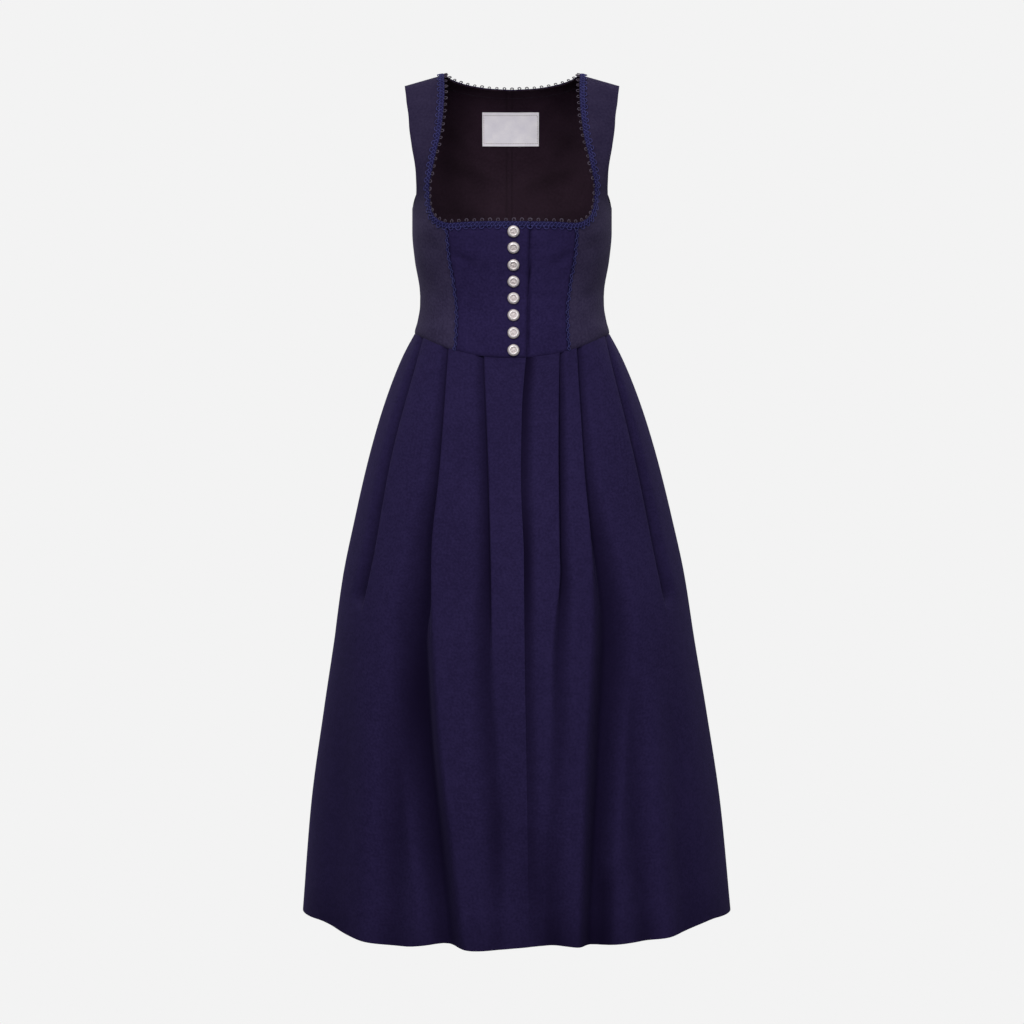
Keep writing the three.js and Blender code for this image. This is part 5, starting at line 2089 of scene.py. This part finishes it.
    def front_ring(self, drop: float, side: Side) -> Arrays:
        """The cloth of one front at a drop.

        Args:
            drop: The drop.
            side: The wearer's side.

        Returns:
            The points of the right and of the wrong side, and the shade painted on the cloth.
        """
        section = self.section(drop, True)
        tables = (self.opening_x, self.underlap, self.opening_step, self.opening_shades)
        x, underlap, step, shade = (told(self.opening_drops, table, drop) for table in tables)
        opening = section.distance_at(x)
        if side is Side.RIGHT:
            steps = np.linspace(0, 1, 5)
            start = (-opening + 6 * steps, 0 * steps, 0 * steps)
            route = self.round(section, drop, start, 1, self.right_pleats)
            return self.faces(section, drop, route, side, True)
        steps = np.linspace(0, 1, 9)
        under = opening - underlap + (underlap + self.underlap_clear) * steps
        # The left front starts in the painted shadow under the right front's edge.
        start = (under, step + 0 * steps, shade + 0 * steps)
        route = self.round(section, drop, start, self.opening_rise, self.left_pleats)
        return self.faces(section, drop, route, side, True)

    def back_ring(self, drop: float) -> Arrays:
        """The cloth of the back at a drop, from the right side seam to the left.

        Args:
            drop: The drop.

        Returns:
            The points of the right and of the wrong side, and the shade painted on the cloth.
        """
        section = self.section(drop, False)
        start = (np.zeros(1),) * 3
        route = self.round(section, drop, start, 1, self.back_pleats)
        *faces, shade = self.faces(section, drop, route, Side.LEFT, False)
        whole = [np.concatenate([(face * np.array([-1, 1, 1]))[:0:-1], face]) for face in faces]
        return *whole, np.concatenate([shade[:0:-1], shade])

    def panel(self, name: str, node: str, ring: Callable[[float], Arrays]) -> Piece:
        """A panel from its rings.

        Args:
            name: The piece's name.
            node: The CAD node that it stands for.
            ring: The cloth at a drop.

        Returns:
            The piece.
        """
        hem_top = 1 - self.hem_turn_share
        hem_rows = (hem_top - 0.002, hem_top + 0.002)
        drops = np.sort(np.concatenate([np.linspace(0, 1, self.rows), hem_rows]))
        rings = [ring(float(drop)) for drop in drops[::-1]]
        lean = Course(self.drops, self.leans).at(drops[::-1])[:, None, None] * np.array([1, 0, 0])
        outer, inner, shade = (np.array(parts) for parts in zip(*rings))
        wool = self.bodice.wardrobe.skirt_wool
        # Painted shade, darker towards the hem.
        shade = shade + self.hem_shade * smoothstep(drops[::-1], 0.93, 1)[:, None]
        shell = ClothShell(name, outer + lean, inner + lean, wool, wool, np.clip(shade, 0, 1))
        bodice = ("front_right_cloth", "front_left_cloth", "back_left_cloth", "back_right_cloth")
        return shell.piece(Slot.WOOL, (node,), Held.GATHERED, bodice)

    def build(self) -> list[Piece]:
        """Builds the three panels.

        Returns:
            The pieces.
        """
        fronts = []
        for side in (Side.RIGHT, Side.LEFT):
            ring = partial(self.front_ring, side=side)
            fronts.append(self.panel(f"skirt_{side.word}_cloth", f"skirt_front_{side.word}", ring))
        return [*fronts, self.panel("skirt_back_cloth", "skirt_back", self.back_ring)]


# Studio


@dataclass
class Studio:
    """The pale floor, the soft lights and the camera of the photo, in metres."""

    pale: float = 0.8963
    ambient: float = 0.22
    floor_z: float = -1.32
    floor_radius: float = 6.0
    camera_distance: float = 3.5
    camera_z: float = -0.612
    lens: float = 87.89

    def glow(self, tree: Tree, kind: str, output: str, shed: float) -> None:
        """Lays out a glow that the camera sees as pale, and that sheds a weaker light on the dress.

        Args:
            tree: The tree to fill.
            kind: The type of its glowing nodes.
            output: The type of its output node.
            shed: The strength of the light that it sheds.
        """
        tree.nodes.clear()
        nodes = NodeTree(tree)
        tone = (self.pale, self.pale, self.pale, 1)
        dim = nodes.add(kind, Color=tone, Strength=shed)
        seen = nodes.add(kind, Color=tone, Strength=1.0)
        ray = nodes.add("ShaderNodeLightPath").outputs["Is Camera Ray"]
        mix = nodes.add("ShaderNodeMixShader", Fac=ray)
        nodes.put(mix.inputs[1], dim.outputs[0])
        nodes.put(mix.inputs[2], seen.outputs[0])
        nodes.add(output, Surface=mix.outputs[0])

    def world(self) -> None:
        """Shows the pale background, which sheds a weaker even light from all round."""
        world = bpy.data.worlds.new("pale_room")
        world.use_nodes = True
        self.glow(world.node_tree, "ShaderNodeBackground", "ShaderNodeOutputWorld", self.ambient)
        bpy.context.scene.world = world

    def floor(self) -> None:
        """Lays a plain round floor that glows as pale as the background."""
        finish = bpy.data.materials.new("pale_floor")
        finish.use_nodes = True
        self.glow(finish.node_tree, "ShaderNodeEmission", "ShaderNodeOutputMaterial", self.ambient * 0.5)
        radius = self.floor_radius
        angle = np.linspace(0, 2 * math.pi, 65)[:-1]
        rim = [(radius * math.cos(a), radius * math.sin(a), self.floor_z) for a in angle]
        mesh = bpy.data.meshes.new("floor")
        mesh.from_pydata(rim, [], [list(range(len(rim)))])
        mesh.materials.append(finish)
        in_scene("floor", mesh)

    def lamp(self, name: str, place: tuple, target: tuple, size: float, power: float) -> None:
        """Hangs a soft square light.

        Args:
            name: Its name.
            place: Where it hangs.
            target: The point that it faces.
            size: The length of its side.
            power: Its power in watts.
        """
        light = bpy.data.lights.new(name, "AREA")
        light.shape = "SQUARE"
        light.size = size
        light.energy = power
        lamp = in_scene(name, light)
        lamp.location = place
        lamp.visible_camera = False
        lamp.rotation_euler = (Vector(target) - Vector(place)).to_track_quat("-Z", "Y").to_euler()

    def camera(self) -> None:
        """Stands the camera where the photo was taken from."""
        data = bpy.data.cameras.new("camera")
        data.lens = self.lens
        data.sensor_width = 36
        data.clip_start = 0.01
        camera = in_scene("camera", data)
        camera.location = (0, -self.camera_distance, self.camera_z)
        camera.rotation_euler = (math.pi / 2, 0, 0)
        bpy.context.scene.camera = camera

    def build(self) -> None:
        """Sets the studio up."""
        scene = bpy.context.scene
        scene.view_settings.view_transform = "Standard"
        scene.view_settings.look = "None"
        self.world()
        self.floor()
        self.camera()
        self.lamp("key_light", (-0.7, -2.5, 0.85), (0, 0, -0.35), 1.1, 42)
        self.lamp("fill_light", (1.3, -2.9, 0.2), (0, 0, -0.55), 1.4, 26)
        self.lamp("top_light", (0, -0.2, 1.9), (0, 0, -0.4), 1.5, 12)
        self.lamp("right_rim_light", (-1.4, 1.2, 0.9), (0, 0, -0.35), 0.8, 12)
        self.lamp("left_rim_light", (1.4, 1.2, 0.9), (0, 0, -0.35), 0.8, 12)


def main() -> None:
    """Builds the studio and every part of the dress, and reports each."""
    logging.basicConfig(level=logging.INFO, format="%(name)s: %(message)s", force=True)
    Studio().build()
    wardrobe = Wardrobe()
    trims = Trims()
    bodice = Bodice(wardrobe)
    braids = (NeckBraid(bodice, trims), SeamBraid(bodice, trims))
    parts = (bodice, BackLining(bodice, trims), *braids, Buttons(bodice), Skirt(bodice))
    for part in parts:
        made = part.build()
        log.info("%s: %d pieces", type(part).__name__, len(made))


if __name__ == "__main__":
    main()
